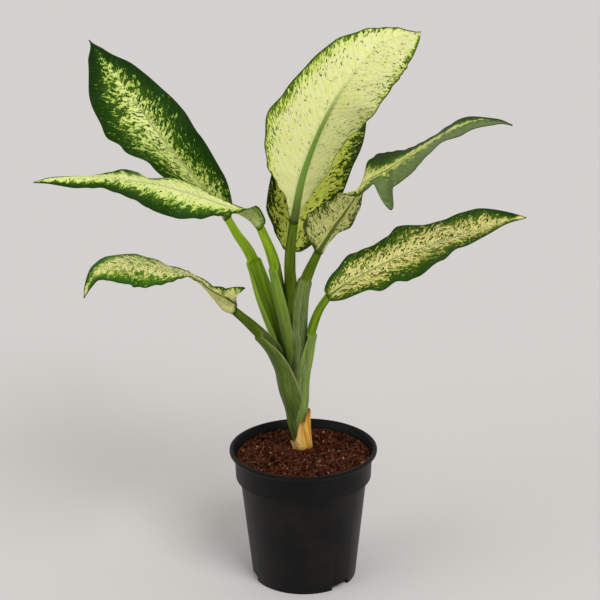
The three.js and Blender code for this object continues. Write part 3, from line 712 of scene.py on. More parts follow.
def make_leaf_pattern():
    """Pale streaks and green flecks along a blade's side veins, its midrib and the relief of its veins."""
    given, out = new_group(
        "Leaf pattern", ("Blade", "Flat"),
        {"Pale Left": 0.7, "Pale Right": 0.7, "Flecks": 1.0, "Softness": 0.4, "Grain": 1.0, "Blots": 0.3,
         "Midrib Width": 1.0, "Midrib End": 0.8, "Vein Spacing": 0.5, "Seed": 0},
        ("Tone", "Midrib", "Beside Midrib", "Veins", "Mottle"),
    )
    share, cross = split(given["Blade"])
    run, aside = split(given["Flat"])
    on_right = maths("GREATER_THAN", cross, 0.5)
    across, far = abs(cross * 2.0 - 1.0), abs(aside)
    # A side vein leaves the midrib steeply and bends to the tip, so `vein` is the same all along one
    drift = centred(noise(given["Flat"], 0.8, 1.0), 0.8)
    vein = run - far * (far * (VEIN_BEND * CM / MM) + VEIN_LEAN) + drift

    def streaks(across_scale, along_scale, shift, detail, strength):
        """Streaks along the side veins, about 0 on average."""
        x = vein * given["Grain"] * across_scale
        y = far * given["Grain"] * along_scale + (on_right * 13.0 + shift)
        return centred(noise(joined(x, y, given["Seed"]), 1.0, detail, 0.65, 0.5), strength)

    broad = streaks(0.9, 0.5, 0.0, 1.0, 2.4)
    middle = streaks(3.4, 1.7, 31.0, 2.0, 6.0)
    fine = streaks(9.0, 4.6, 57.0, 2.0, 6.0)
    specks = streaks(6.4, 4.2, 83.0, 1.5, 6.0)
    blots = centred(noise(joined(run, aside, given["Seed"]), 2.7, 3.0, 0.6, 0.8), 5.0)

    # Where the blade is pale: inside its zone, with a border that streaks and blots break up
    reach = on_right * given["Pale Right"] + (1.0 - on_right) * given["Pale Left"]
    inside = (reach - across) / given["Softness"]
    limited = maths("MINIMUM", maths("MAXIMUM", inside, -1.7), 1.0)
    grain = (middle * 0.62 + fine * 0.45) * given["Flecks"] + blots * given["Blots"] * given["Flecks"]
    pale = step_between(limited + broad * 0.5 + grain, -0.1, 0.4)

    # Green flecks in the pale part, more of them to the margin
    many = given["Flecks"] * 0.8 + (blots * 0.5 + specks) + step_between(across, 0.45, 0.95, -0.1, 0.55)
    holes = step_between(many, 1.35, 1.6)
    depth = step_between(blots * 0.45 + (middle * 0.35 + limited), -0.9, 1.3, 0.6, 1.0)
    edge_green = step_between(fine * 0.3 + inside, -1.6, 0.2, 0.0, 0.34)
    tone = mixed_value(pale, edge_green, depth)

    # The midrib narrows and fades to the tip
    near = far / (given["Midrib Width"] * (share * -0.2 + 0.21))
    fading = step_between(share, given["Midrib End"] - 0.3, given["Midrib End"], 1.0, 0.0)
    beside = step_between(near + middle * 1.2, 0.5, 3.6, 1.0, 0.0)

    # The relief: a ridge along each side vein, with fine threads between
    turns = vein / given["Vein Spacing"]
    ridge = maths("POWER", abs(maths("SINE", turns * math.pi)), 0.4)
    threads = maths("SINE", turns * (12 * math.pi))
    give(out, {
        "Tone": mixed_value(holes, tone, 0.12),
        "Midrib": step_between(near, 0.7, 1.1, 1.0, 0.0) * fading,
        "Beside Midrib": beside * fading,
        "Veins": threads * 0.06 + ridge,
        "Mottle": fine,
    })


def make_fibres():
    """Fibres that run along a stalk, from its map in centimetres along and round."""
    given, out = new_group(
        "Fibres", ("Map",), {"Fineness": 1.0, "Seed": 0}, ("Streaks", "Threads", "Patches"))
    run, turn = split(given["Map"])
    for title, long_scale, round_scale, shift, detail in (
        ("Streaks", 0.25, 3.0, 0.0, 3.0),
        ("Threads", 0.8, 16.0, 9.0, 2.0),
        ("Patches", 0.7, 1.2, 21.0, 3.0),
    ):
        place = joined(run * long_scale, turn * round_scale * given["Fineness"], given["Seed"] + shift)
        give(out, {title: noise(place, 1.0, detail, 0.6)})


def leaf_material(leaf, foliage):
    """A blade's skin: variegated, a little waxy, and lit through from behind, with painted backlight in the
    top blade's colours.
    """
    look = leaf["look"]
    material, tree, shader = new_material("Blade " + leaf["name"].replace("_", " "))
    blade = uv_map(tree, "Blade")
    along, cross = split(blade)
    # A ramp holds values from 0 to 1, so the zones' values are kept in it as their half plus a quarter
    stops = [(row[0], [0.5 * value + 0.25 for value in row[1:]]) for row in look["zones"]]
    zones = node("ShaderNodeSeparateColor", {0: ramp(along, stops)}).outputs
    left, right, flecks = (Value(zones[k]) * 2.0 - 0.5 for k in range(3))
    pattern = placed_group("Leaf pattern", {
        "Blade": blade, "Flat": uv_map(tree, "Flat"), "Pale Left": left, "Pale Right": right,
        "Flecks": flecks, "Softness": look["soft"], "Grain": look["grain"], "Blots": look["blots"],
        "Midrib Width": look["rib"], "Midrib End": look["rib_end"],
        "Vein Spacing": foliage.vein_spacing / CM, "Seed": look["seed"],
    })
    # The top blade's brighter ramp paints the light that comes through it from behind
    painted_backlight = leaf["tones"] == "painted_backlight"
    skin = ramp(pattern["Tone"], [(stop, rgb(code)) for stop, code in zip(TONE_PLACES, TONES[leaf["tones"]])])
    skin = mixed(pattern["Beside Midrib"] * (0.3 if painted_backlight else 0.6), skin, foliage.cream)
    under = attribute(tree, "Under")
    if not painted_backlight:
        skin = mixed(under * 0.15, skin, foliage.underside)
    if "curl" in look:
        curled = step_between(along, 0.1, 0.2, look["curl"], 0.0)
        skin = mixed(under * curled, skin, paint("curled foot"))
    # The midrib and the blade's foot take up their stalk's green, with its painted light and shade
    painted_light_gain = STALK_TONES.get(leaf["name"], PLAIN_STALK)[1]
    foot = tuple(painted_light_gain * part for part in foliage.stalk_dark)
    near, far = (rgb(code) for code in look["midrib"])
    rib = mixed(step_between(along, 0.35, 0.7), near, far)
    rib = mixed(step_between(along, 0.02, 0.2, 1.0, 0.0), rib, foot)
    skin = mixed(pattern["Midrib"] * 0.9, skin, rib)
    skin = mixed(step_between(along, 0.005, 0.03, 1.0, 0.0), skin, foot)
    # A grey-green waxy bloom on the right side, with painted sheen in it
    if "bloom_and_sheen" in look:
        side = step_between(cross, 0.5, 0.72, 0.1, 0.75)
        patchy = side * step_between(pattern["Mottle"], -1.2, 1.2, 0.62, 1.0)
        skin = mixed(patchy * step_between(along, *look["bloom_and_sheen"]), skin, paint("blade bloom"))
    skin = mixed(attribute(tree, "Margin") * 0.92, skin, foliage.margin)
    give(shader.inputs, {
        "Base Color": skin,
        "Roughness": pattern["Mottle"] * 0.03 + (under * 0.12 + 0.4),
        "Normal": bump(pattern["Veins"], 0.6, 0.0007),
        "Specular IOR Level": 0.09,
    })
    lit_through(shader, mixed(0.3, skin, foliage.glow), 0.35 if painted_backlight else 0.15)
    return material


def stalk_material(name, light, dark, grey, painted_shade_low, seed):
    """A green stalk with fibres, and a waxy sheath with painted sheen in its grey streaks, a thin dry edge,
    and painted shade that darkens it low in the crowd.
    """
    material, tree, shader = new_material(name)
    plan = uv_map(tree, "Length")
    fibres = placed_group("Fibres", {"Map": plan, "Fineness": 1.0, "Seed": seed})
    streaks, threads, patches = (fibres[key] for key in ("Streaks", "Threads", "Patches"))
    edge, sheath = attribute(tree, "Sheath edge"), attribute(tree, "Sheath")
    skin = mixed(step_between(streaks, 0.3, 0.7), dark, light)
    skin = mixed(step_between(threads, 0.5, 0.8) * 0.35, skin, light)
    # Grey waxy streaks on the sheath, with painted highlights in them
    skin = mixed(sheath * step_between(threads, 0.35, 0.7) * grey, skin, paint("sheath bloom"))
    # Painted shade: the sheath is darker low down, where the stalks crowd together
    painted_crowd_shade = sheath * step_between(split(plan)[0], 8.5, 12.5, painted_shade_low, 0.0)
    skin = mixed(painted_crowd_shade, skin, paint("painted crowd shade"))
    skin = mixed(edge * step_between(patches, 0.3, 0.6, 0.5, 1.0), skin, paint("sheath edge"))
    give(shader.inputs, {
        "Base Color": skin,
        "Roughness": streaks * 0.25 + 0.33,
        "Normal": bump(threads * 0.5 + streaks, 0.6, 0.0005),
        "Specular IOR Level": 0.09,
    })
    lit_through(shader, skin, edge * 0.4)
    return material


def dry_material():
    """The golden papery skin of an old leaf's foot, bleached at the left, damp low down, brown where torn."""
    material, tree, shader = new_material("Dry sheath")
    plan = uv_map(tree, "Length")
    high, turn = split(plan)
    fibres = placed_group("Fibres", {"Map": plan, "Fineness": 1.3, "Seed": 5.0})
    streaks, threads, patches = (fibres[key] for key in ("Streaks", "Threads", "Patches"))
    skin = mixed(step_between(streaks, 0.3, 0.7), paint("dark straw"), paint("light straw"))
    left = step_between(turn + patches * 0.8, 0.9, 2.0, 1.0, 0.0)
    skin = mixed(left * 0.6, skin, paint("bleached straw"))
    damp = step_between(high, 10.7, 11.2, 0.75, 0.0) * step_between(patches, 0.3, 0.6)
    skin = mixed(damp, skin, paint("damp straw"))
    browned = maths("MAXIMUM", step_between(patches, 0.54, 0.66) * 0.7, attribute(tree, "Torn"))
    skin = mixed(browned * 0.8, skin, paint("torn straw"))
    give(shader.inputs, {
        "Base Color": skin,
        "Roughness": threads * 0.3 + 0.5,
        "Normal": bump(threads + streaks, 0.7, 0.0006),
    })
    return material


def pot_material(color):
    """Black moulded plastic with fine scuffs, a trace of dust and faint mould flow."""
    material, tree, shader = new_material("Black moulded plastic")
    place = object_place(tree)
    grain = noise(place, 900.0, 2.0, 0.6)
    cloud = noise(place, 28.0, 4.0, 0.6)
    drawn = Value(node("ShaderNodeMapping", {"Vector": place, "Scale": (60, 60, 700)}).outputs[0])
    scuff = noise(drawn, 1.0, 3.0, 0.7)
    dust = step_between(cloud * (scuff * 0.5 + 0.7), 0.35, 0.75)
    give(shader.inputs, {
        "Base Color": mixed(dust * 0.05, color, paint("dust")),
        "Roughness": cloud * 0.18 + 0.3 + scuff * 0.1,
        "Normal": bump(scuff * 0.6 + grain, 0.12, 0.0003),
        "Specular IOR Level": 0.13,
    })
    return material


def soil_material(name, scale, moist):
    """Peat and coir: a ramp of browns over the lumps, with each crumb's own tone where it has one."""
    material, tree, shader = new_material(name)
    place = object_place(tree)
    lumps = noise(place, scale, 4.0, 0.65)
    specks = noise(place, 4 * scale, 2.0, 0.6)
    tone = attribute(tree, "Tone") + (lumps * 0.9 + (specks * 0.5 - 0.7))
    give(shader.inputs, {
        "Base Color": ramp(tone, [(stop, rgb(code)) for stop, code in SOIL_BROWNS]),
        "Roughness": lumps * -moist + 0.98,
        "Normal": bump(specks * 0.6 + lumps, 0.9, 0.0012),
        "Specular IOR Level": 0.06,
    })
    return material


# Shapes

def in_cm(length):
    return length * MM / CM


def folded(round_share):
    """Whether a point of a rolled-up grid is on its back, and how far it is across, from -1 to 1."""
    on_back = round_share > 0.5
    return on_back, np.where(on_back, 3 - 4 * round_share, 4 * round_share - 1)


def blade_place(leaf, foliage):
    """Where a point of a rolled-up grid goes on a blade: over its upper side and back along its lower one."""
    curve = Curve(leaf["midrib"])
    deep, count, left_phase, right_phase = leaf["wave"]
    seed = leaf["look"]["seed"]

    def place(share, round_share):
        on_under, x = folded(round_share)
        # Columns lie closer together at the margins
        across = x * (1.25 - 0.25 * x * x)
        side = np.where(across < 0, -1.0, 1.0)
        u = np.abs(across)
        axis = curve.tangent(share)
        middle = curve.point(share) + axis * (GAP * (share == 0))[:, None]
        turn, lift_l, curl_l, wide_l, lift_r, curl_r, wide_r = eased(leaf["form"], share)
        up, right = blade_frame(axis, turn)
        shape = outline_at(leaf["outline"], share)
        is_left = side < 0
        wide = np.where(is_left, wide_l, wide_r)
        start = np.radians(np.where(is_left, lift_l, lift_r))
        bend = np.radians(np.where(is_left, curl_l, curl_r))
        phase = np.where(is_left, left_phase, right_phase)
        reach = np.maximum(NECK * (1 - share) + wide * shape, TIP_HALF)
        far = u * reach
        turned = start + bend * u
        steady = np.abs(bend) < 1e-3
        radius = reach / np.where(steady, 1, bend)
        out = np.where(steady, far * np.cos(start), radius * (np.sin(turned) - np.sin(start)))
        rise = np.where(steady, far * np.sin(start), radius * (np.cos(start) - np.cos(turned)))
        # The surface turns smoothly through the midrib
        angle = turned * smoothstep(far, 0, MIDRIB_TURN)
        face = up * np.cos(angle)[:, None] - right * (side * np.sin(angle))[:, None]
        ripple = deep * shape * u * u * np.sin(2 * np.pi * (count * share + phase))
        # Each strip between two side veins swells a little, but not at the midrib, the margin or the tip
        run = share * curve.length
        vein = (run - far * (VEIN_LEAN + VEIN_BEND * far)) * MM / foliage.vein_spacing
        swell = 0.5 * foliage.pillow / MM * np.sin(np.pi * vein) ** 2
        swell = swell * np.minimum(4 * u * (1 - u), 1) * (1 - share**4)
        stir = STIR["high"] * u * shape * np.sin(run / STIR["long"] + seed + side)
        spot = middle + right * (side * out)[:, None] + up * rise[:, None]
        spot = spot + face * (ripple + (swell + stir))[:, None]
        keel = np.minimum(lerp(KEEL["wide"], KEEL["tip_wide"], share), 0.85 * reach)
        keel_deep = lerp(KEEL["deep"], KEEL["tip_deep"], share**0.7)
        plain = lerp(BLADE_THICK, MARGIN_THICK, u)
        bulge = np.where(far < keel, (keel_deep - plain) * np.sqrt(np.clip(1 - (far / keel) ** 2, 0, 1)), 0)
        edge = np.clip((far - reach) / EDGE_ROUND + 1, 0, 1)
        rounding = np.sqrt(np.clip(1 - edge**2, 0, 1))
        under = spot - face * ((plain + bulge) * rounding)[:, None]
        groove = GROOVE["deep"] * (1 - share) * np.exp(-((far / GROOVE["wide"]) ** 2))
        upper = spot - face * groove[:, None]
        points = np.where(on_under[:, None], under, upper)
        maps = {"Blade": (share, 0.5 + 0.5 * side * u), "Flat": (in_cm(run), in_cm(side * far))}
        marks = {"Under": on_under * 1.0, "Margin": smoothstep(reach - far, *MARGIN_MARK)}
        return points, maps, marks

    return place


def stalk_place(leaf):
    """Where a point of a rolled-up grid goes on a petiole: round its outside and back along its hollow."""
    curve = Curve(leaf["petiole"])
    foot = math.radians(leaf["out"])
    outward = np.array([math.cos(foot), math.sin(foot), 0])
    start = Curve(leaf["midrib"]).tangent(0)
    underside = -blade_frame(start, np.array([leaf["form"][0][1]]))[0]

    def place(share, round_share):
        # The last ring stands square to the midrib, so that the blade's foot meets it flat
        axis = np.where((share > 0.9999)[:, None], start, curve.tangent(share))
        turned = lerp(outward, underside, smoothstep(share, 0.4, 1)[:, None])
        away = square_to(turned, axis)
        side = np.cross(axis, away)
        radius, spread, hollow = eased(leaf["stalk"], share)
        on_inside, s = folded(round_share)
        spread = np.radians(spread)
        angle = spread * s
        arc = np.stack([radius * np.cos(angle), radius * np.sin(angle)], -1)
        # A sheath thins to its open margins. Further up, the stalk is filled to a chord
        wall = SHEATH_WALL * (0.5 + 0.5 * np.cos(s * np.pi / 2)) * np.sqrt(1 - s**10)
        inner = np.stack([(radius - wall) * np.cos(angle), (radius - wall) * np.sin(angle)], -1)
        chord = np.stack([radius * np.cos(spread), radius * np.sin(spread) * s], -1)
        inside = lerp(chord, inner, hollow[:, None])
        flat = np.where(on_inside[:, None], inside, arc)
        points = curve.point(share) + away * flat[:, :1] + side * flat[:, 1:]
        # The inside takes its fibres from another part of the pattern, 5 cm on
        maps = {"Length": (in_cm(share * curve.length), in_cm(angle * radius) + on_inside * 5)}
        marks = {"Sheath edge": hollow * smoothstep(np.abs(s), 0.9, 0.99), "Sheath": hollow}
        return points, maps, marks

    return place


def from_cane(x, y):
    return np.hypot(x - CANE[0][0], y - CANE[0][1])


def soil_height(x, y):
    """Height of the soil's crumbly top, in mm."""
    far = from_cane(x, y)
    relief = np.sin(0.31 * x + 1.3 * np.sin(0.17 * y)) + np.sin(0.37 * y + 1.7 * np.sin(0.23 * x + 2))
    relief = SOIL_RELIEF * (relief + 0.5 * np.sin(0.9 * x + 0.8 * y))
    rough = smoothstep(far, *COLLAR) * relief * (1 - 0.7 * smoothstep(np.hypot(x, y), 48, 54))
    return SOIL_LEVEL + SOIL_MOUND * np.exp(-((far / MOUND_WIDTH) ** 2)) + rough


class Heap:
    """Loose bits that become one mesh. Each has a tone of its own."""

    def __init__(self):
        self.points, self.sides, self.tones, self.used = [], [], [], 0

    def add(self, points, sides, tone):
        self.points.append(points)
        self.sides.append(sides + self.used)
        self.tones.append(np.full(len(points), tone))
        self.used += len(points)

    def mesh(self, name):
        made = bpy.data.meshes.new(name)
        faces = [side.tolist() for sides in self.sides for side in sides]
        made.from_pydata((np.vstack(self.points) * MM).tolist(), [], faces)
        tones = np.concatenate(self.tones).astype(np.float32)
        made.attributes.new("Tone", "FLOAT", "POINT").data.foreach_set("value", tones)
        return made


def crumb_shapes(rng):
    """Six lumps to strew: four round ones and two coarse ones, as points and faces."""
    shapes = []
    for n in range(6):
        ball = new_piece(
            "crumb_shape", bpy.ops.mesh.primitive_ico_sphere_add, subdivisions=2 if n < 4 else 1, radius=1)
        co = np.array([v.co for v in ball.data.vertices])
        swell = 1 + 0.25 * np.sin(3 * co @ rng.normal(size=3) + n)
        swell = swell + 0.2 * np.sin(5 * co @ rng.normal(size=3))
        sides = np.array([f.vertices for f in ball.data.polygons])
        shapes.append((co * swell[:, None] * rng.uniform(0.6, 1.2, 3), sides))
        bpy.data.objects.remove(ball)
    return shapes


def random_spot(rng, reach, least):
    """Radius and angle of a spot, spread evenly over a disc."""
    return reach * math.sqrt(rng.uniform(least, 1)), rng.uniform(0, 2 * math.pi)


def strew_crumbs(heap, rng, count, radius):
    shapes = crumb_shapes(rng)
    for n in range(count):
        form, sides = shapes[rng.integers(4, 6) if n % 3 else rng.integers(0, 4)]
        r, a = random_spot(rng, CRUMB_REACH, 0.0)
        x, y = r * math.cos(a), r * math.sin(a)
        # One in seventeen is a lump of double size
        size = radius * rng.uniform(0.45, 1.0) * (2.0 if rng.uniform() > 0.94 else 1.0)
        if r + size > CRUMB_LIMIT or from_cane(x, y) < CANE_CLEAR:
            continue
        turn = np.linalg.qr(rng.normal(size=(3, 3)))[0]
        turn[:, 0] *= np.sign(np.linalg.det(turn))
        centre = np.array([x, y, float(soil_height(x, y)) + 0.25 * size])
        # One in forty is a pale chip
        pale = rng.uniform() > 0.975
        heap.add(form * size @ turn.T + centre, sides, 0.92 if pale else rng.uniform(0.12, 0.74))


def strew_fibres(heap, rng, count):
    steps = FIBRE_STEPS
    sides = [(4 * k + i, 4 * k + (i + 1) % 4, 4 * k + 4 + (i + 1) % 4, 4 * k + 4 + i)
             for k in range(steps) for i in range(4)]
    sides += [(3, 2, 1, 0), tuple(4 * steps + i for i in range(4))]
    for n in range(count):
        r, a = random_spot(rng, FIBRE_REACH, 0.02)
        head, bend = rng.uniform(0, 2 * math.pi), rng.uniform(-0.35, 0.35)
        long, thick = rng.uniform(3, 9), rng.uniform(0.1, 0.22)
        x, y = r * math.cos(a), r * math.sin(a)
        line = []
        for k in range(steps + 1):
            line.append((x, y))
            x += long / steps * math.cos(head)
            y += long / steps * math.sin(head)
            head += bend
        line = np.array(line)
        near_wall = np.hypot(line[:, 0], line[:, 1]).max() > FIBRE_LIMIT
        if near_wall or from_cane(line[:, 0], line[:, 1]).min() < CANE_CLEAR:
            continue
        arch = np.sin(np.linspace(0, np.pi, steps + 1))
        high = soil_height(line[:, 0], line[:, 1]) + 0.4 + rng.uniform(0, 0.7) * arch
        ends = np.sin(np.linspace(0.15, np.pi - 0.15, steps + 1)) ** 0.5
        across = np.array([-math.sin(head), math.cos(head), 0])
        ring = []
        for k in range(steps + 1):
            middle = np.array([*line[k], high[k]])
            for corner in range(4):
                angle = math.pi / 2 * corner
                lift = np.array([0, 0, math.sin(angle)])
                ring.append(middle + thick * ends[k] * (across * math.cos(angle) + lift))
        heap.add(np.array(ring), np.array(sides), rng.uniform(0.5, 0.85))


# Settings

class PLANT_PG_pot(bpy.types.PropertyGroup):
    plastic: FloatVectorProperty(
        name="Plastic", description="Colour of the moulded pot", subtype="COLOR", default=rgb(0x0A0A0B),
        min=0, max=1)
    rim_radius: FloatProperty(
        name="Rim radius", description="Outside radius of the pot's lip", unit="LENGTH", default=POT_TOP.x)
    sides: IntProperty(name="Sides", description="Faces round the pot", default=160, min=32, max=256)


class PLANT_PG_soil(bpy.types.PropertyGroup):
    crumbs: IntProperty(name="Crumbs", description="Loose crumbs on the soil", default=1700, min=0, max=2400)
    fibres: IntProperty(
        name="Fibres", description="Coir fibres among the crumbs", default=260, min=0, max=600)
    crumb_size: FloatProperty(
        name="Crumb size", description="Radius of a middling crumb", unit="LENGTH", default=0.0011)
    seed: IntProperty(name="Seed", description="Draws the crumbs' places", default=7)


class PLANT_PG_foliage(bpy.types.PropertyGroup):
    vein_spacing: FloatProperty(
        name="Vein spacing", description="Distance between side veins", unit="LENGTH", default=0.0055)
    pillow: FloatProperty(
        name="Pillow", description="How far a blade swells between side veins", unit="LENGTH", default=0.0005)
    cream: FloatVectorProperty(
        name="Cream", description="Palest colour, beside the midrib", subtype="COLOR", default=rgb(0xE2E090),
        min=0, max=1)
    underside: FloatVectorProperty(
        name="Underside", description="Tint of a blade's lower side", subtype="COLOR", default=rgb(0xA9AC66),
        min=0, max=1)
    margin: FloatVectorProperty(
        name="Margin", description="Colour of a blade's edge", subtype="COLOR", default=rgb(0x1D3B0E),
        min=0, max=1)
    glow: FloatVectorProperty(
        name="Glow", description="Light through a blade", subtype="COLOR", default=rgb(0xD6EC60),
        min=0, max=1)
    stalk_light: FloatVectorProperty(
        name="Stalk, light", description="Light fibres of a stalk", subtype="COLOR", default=rgb(0x6E8618),
        min=0, max=1)
    stalk_dark: FloatVectorProperty(
        name="Stalk, dark", description="Dark fibres of a stalk", subtype="COLOR", default=rgb(0x405C06),
        min=0, max=1)


class PLANT_PG_stage(bpy.types.PropertyGroup):
    floor: FloatVectorProperty(
        name="Floor", description="Colour of the floor", subtype="COLOR", default=(0.69, 0.67, 0.655),
        min=0, max=1)
    distance: FloatProperty(
        name="Distance", description="Camera in front of the pot", unit="LENGTH", default=1.489)
    height: FloatProperty(name="Height", description="Camera over the floor", unit="LENGTH", default=0.775)
    aside: FloatProperty(
        name="Aside", description="Camera to the right of the pot", unit="LENGTH", default=-0.0016)
    pitch: FloatProperty(
        name="Pitch", description="Camera below level", subtype="ANGLE", default=math.radians(19.8))
    roll: FloatProperty(
        name="Roll", description="Camera's turn about its view", subtype="ANGLE", default=math.radians(-0.5))
    lens: FloatProperty(name="Lens", description="Focal length for a 36 mm sensor, in mm", default=120)


# Operators

class PLANT_OT_stage(bpy.types.Operator):
    """Sets the floor, the soft lights and the camera"""

    bl_idname = "plant.stage"
    bl_label = "Stage"

    def execute(self, context):
        values = context.scene.plant_stage
        floor = new_piece("floor", bpy.ops.mesh.primitive_plane_add, size=14)
        material, _, shader = new_material("Pale floor")
        give(shader.inputs, {"Base Color": (*values.floor, 1), "Roughness": 0.7})
        floor.data.materials.append(material)
        world = bpy.data.worlds.new("Soft room")
        world.use_nodes = True
        daylight = world.node_tree.nodes["Background"].inputs
        give(daylight, {"Color": (1, 0.985, 0.965, 1), "Strength": 0.5})
        context.scene.world = world
        for name, place, angle, power in (
            ("key", (0.6, -1.0, 1.3), 30, 1.5),
            ("fill", (-1.4, -0.8, 0.9), 50, 0.7),
        ):
            light = bpy.data.lights.new(name, "SUN")
            light.angle = math.radians(angle)
            light.energy = power
            lamp = bpy.data.objects.new(name, light)
            lamp.location = place
            lamp.rotation_euler = (-lamp.location).to_track_quat("-Z", "Y").to_euler()
            context.scene.collection.objects.link(lamp)
        camera = bpy.data.cameras.new("camera")
        camera.lens = values.lens
        eye = bpy.data.objects.new("camera", camera)
        eye.location = (values.aside, -values.distance, values.height)
        level = Matrix.Rotation(math.pi / 2 - values.pitch, 3, "X")
        eye.rotation_euler = (level @ Matrix.Rotation(values.roll, 3, "Z")).to_euler()
        context.scene.collection.objects.link(eye)
        context.scene.camera = eye
        context.scene.view_settings.view_transform = "Standard"
        return {"FINISHED"}


class PLANT_OT_pot(bpy.types.Operator):
    """Models the nursery pot: a ring extruded up the wall, over the lip and down inside, and its notches"""

    bl_idname = "plant.pot"
    bl_label = "Pot"

    def execute(self, context):
        values = context.scene.plant_pot
        widen = values.rim_radius / MM / max(r for r, z in POT_OUTSIDE)
        profile = [(r * widen * MM, z * MM) for r, z in POT_OUTSIDE + POT_INSIDE]
        pot = new_piece(
            "nursery_pot", bpy.ops.mesh.primitive_circle_add, vertices=values.sides, radius=profile[0][0],
            fill_type="NGON")
        bpy.ops.object.mode_set(mode="EDIT")
        bpy.ops.mesh.select_all(action="SELECT")
        bpy.ops.mesh.delete(type="ONLY_FACE")
        bpy.ops.mesh.select_all(action="SELECT")
        for (r0, z0), (r1, z1) in zip(profile, profile[1:]):
            bpy.ops.mesh.extrude_region_move(TRANSFORM_OT_translate={"value": (0, 0, z1 - z0)})
            bpy.ops.transform.resize(value=(r1 / r0, r1 / r0, 1), center_override=(0, 0, z1))
        bpy.ops.object.mode_set(mode="OBJECT")
        in_edit_mode(pot, FILL_HOLES, FACE_OUT)
        cutters = []
        for n in range(NOTCHES):
            angle = FIRST_NOTCH + 2 * math.pi * n / NOTCHES
            spot = (POT_FOOT * MM * math.cos(angle), POT_FOOT * MM * math.sin(angle), 0)
            cutter = new_piece(
                f"notch_{n}", bpy.ops.mesh.primitive_cube_add, size=1, location=spot, rotation=(0, 0, angle))
            cutter.scale = (NOTCH["deep"] * MM, NOTCH["wide"] * MM, 2 * NOTCH["high"] * MM)
            bevel = cutter.modifiers.new("round", "BEVEL")
            bevel.width = NOTCH["round"] * MM
            bevel.segments = 4
            apply_all(cutter)
            cutters.append(cutter)
        for cutter in cutters:
            cut = pot.modifiers.new("notch", "BOOLEAN")
            cut.object = cutter
            cut.operation = "DIFFERENCE"
            cut.solver = "EXACT"
        apply_all(pot)
        for cutter in cutters:
            bpy.data.objects.remove(cutter)
        shade(pot, POT_CREASE)
        finish_piece(pot, pot_material(tuple(values.plastic)), "pot", "pot")
        return {"FINISHED"}


class PLANT_OT_soil(bpy.types.Operator):
    """Models the soil with its mound, and the crumbs and fibres that lie on it"""

    bl_idname = "plant.soil"
    bl_label = "Soil"

    def execute(self, context):
        values = context.scene.plant_soil
        rng = np.random.default_rng(values.seed)
        wall = np.array(SOIL_WALL, float)

        def place(share, round_share):
            # The first rows run up along the pot's wall, out of sight, and the rest lie on top
            angle = 2 * np.pi * round_share
            low = share < SOIL_HIDDEN
            down = np.clip(share / SOIL_HIDDEN, 0, 1) * (len(wall) - 1)
            k = np.clip(down.astype(int), 0, len(wall) - 2)
            edge = lerp(wall[k], wall[k + 1], (down - k)[:, None])
            top = np.clip((share - SOIL_HIDDEN) / (1 - SOIL_HIDDEN), 0, 1)
            r = np.where(low, edge[:, 0], wall[-1, 0] * (1 - top) ** 0.75)
            x, y = r * np.cos(angle), r * np.sin(angle)
            grit = np.sin(1.9 * x + 2.2 * np.sin(1.3 * y)) * np.sin(2.3 * y + 1.7 * np.sin(1.7 * x))
            rise = soil_height(x, y) + 0.35 * grit
            z = np.where(low, edge[:, 1], rise)
            return np.stack([x, y, z], -1), {}, {"Tone": 0.42 + 0.1 * grit}

        soil = rolled_piece("potting_soil", SOIL_GRID, place)
        shade(soil)
        finish_piece(soil, soil_material("Peat", 420.0, 0.35), "soil", "soil")
        heap = Heap()
        strew_crumbs(heap, rng, values.crumbs, values.crumb_size / MM)
        strew_fibres(heap, rng, values.fibres)
        crumbs = bpy.data.objects.new("soil_crumbs", heap.mesh("soil_crumbs"))
        context.scene.collection.objects.link(crumbs)
        in_edit_mode(crumbs, FACE_OUT)
        shade(crumbs, CRUMB_CREASE)
        finish_piece(crumbs, soil_material("Crumbs", 700.0, 0.4), "soil")
        return {"FINISHED"}


class PLANT_OT_stalks(bpy.types.Operator):
    """Models the cane and the petiole of every leaf"""

    bl_idname = "plant.stalks"
    bl_label = "Stalks"

    def execute(self, context):
        foliage = context.scene.plant_foliage
        light, dark = tuple(foliage.stalk_light), tuple(foliage.stalk_dark)
        curve = Curve([row[:3] for row in CANE])
        knots = np.linspace(0, 1, len(CANE))

        def cane_place(share, round_share):
            centre = curve.at(share)
            ahead, behind = np.minimum(share + curve.STEP, 1), np.maximum(share - curve.STEP, 0)
            axis = unit(curve.at(ahead) - curve.at(behind))
            across = square_to(np.broadcast_to(np.array([1.0, 0, 0]), axis.shape), axis)
            along = np.cross(axis, across)
            radius = eased([(k, row[3]) for k, row in zip(knots, CANE)], share)[0]
            # Low rings are left where old leaves grew
            rings = 0.3 * np.sin(centre[:, 2] * 1.1) ** 8
            angle = 2 * np.pi * round_share
            points = centre + across * ((radius + rings) * np.cos(angle))[:, None]
            points = points + along * ((radius + rings) * np.sin(angle))[:, None]
            maps = {"Length": (in_cm(centre[:, 2]), in_cm(angle * radius))}
            return points, maps, {"Sheath edge": 0 * share}

        cane = rolled_piece("cane_skin", CANE_GRID, cane_place)
        shade(cane)
        skin = stalk_material("Cane", paint("light cane"), paint("dark cane"), 0.0, 0.0, 3.0)
        finish_piece(cane, skin, "cane", "cane")
        for number, leaf in enumerate(LEAVES):
            stalk = rolled_piece(leaf["name"] + "_stalk", STALK_GRID, stalk_place(leaf))
            shade(stalk)
            bloom_and_sheen, painted_light_gain, painted_shade_low = STALK_TONES.get(leaf["name"], PLAIN_STALK)
            # Each stalk is a lighter or darker copy of the same greens: painted light and shade
            shades = [tuple(painted_light_gain * part for part in color) for color in (light, dark)]
            title = "Stalk " + leaf["name"].replace("_", " ")
            skin = stalk_material(title, *shades, bloom_and_sheen, painted_shade_low, 2.0 * number)
            finish_piece(stalk, skin, "petiole", leaf["name"] + "_petiole")
        return {"FINISHED"}


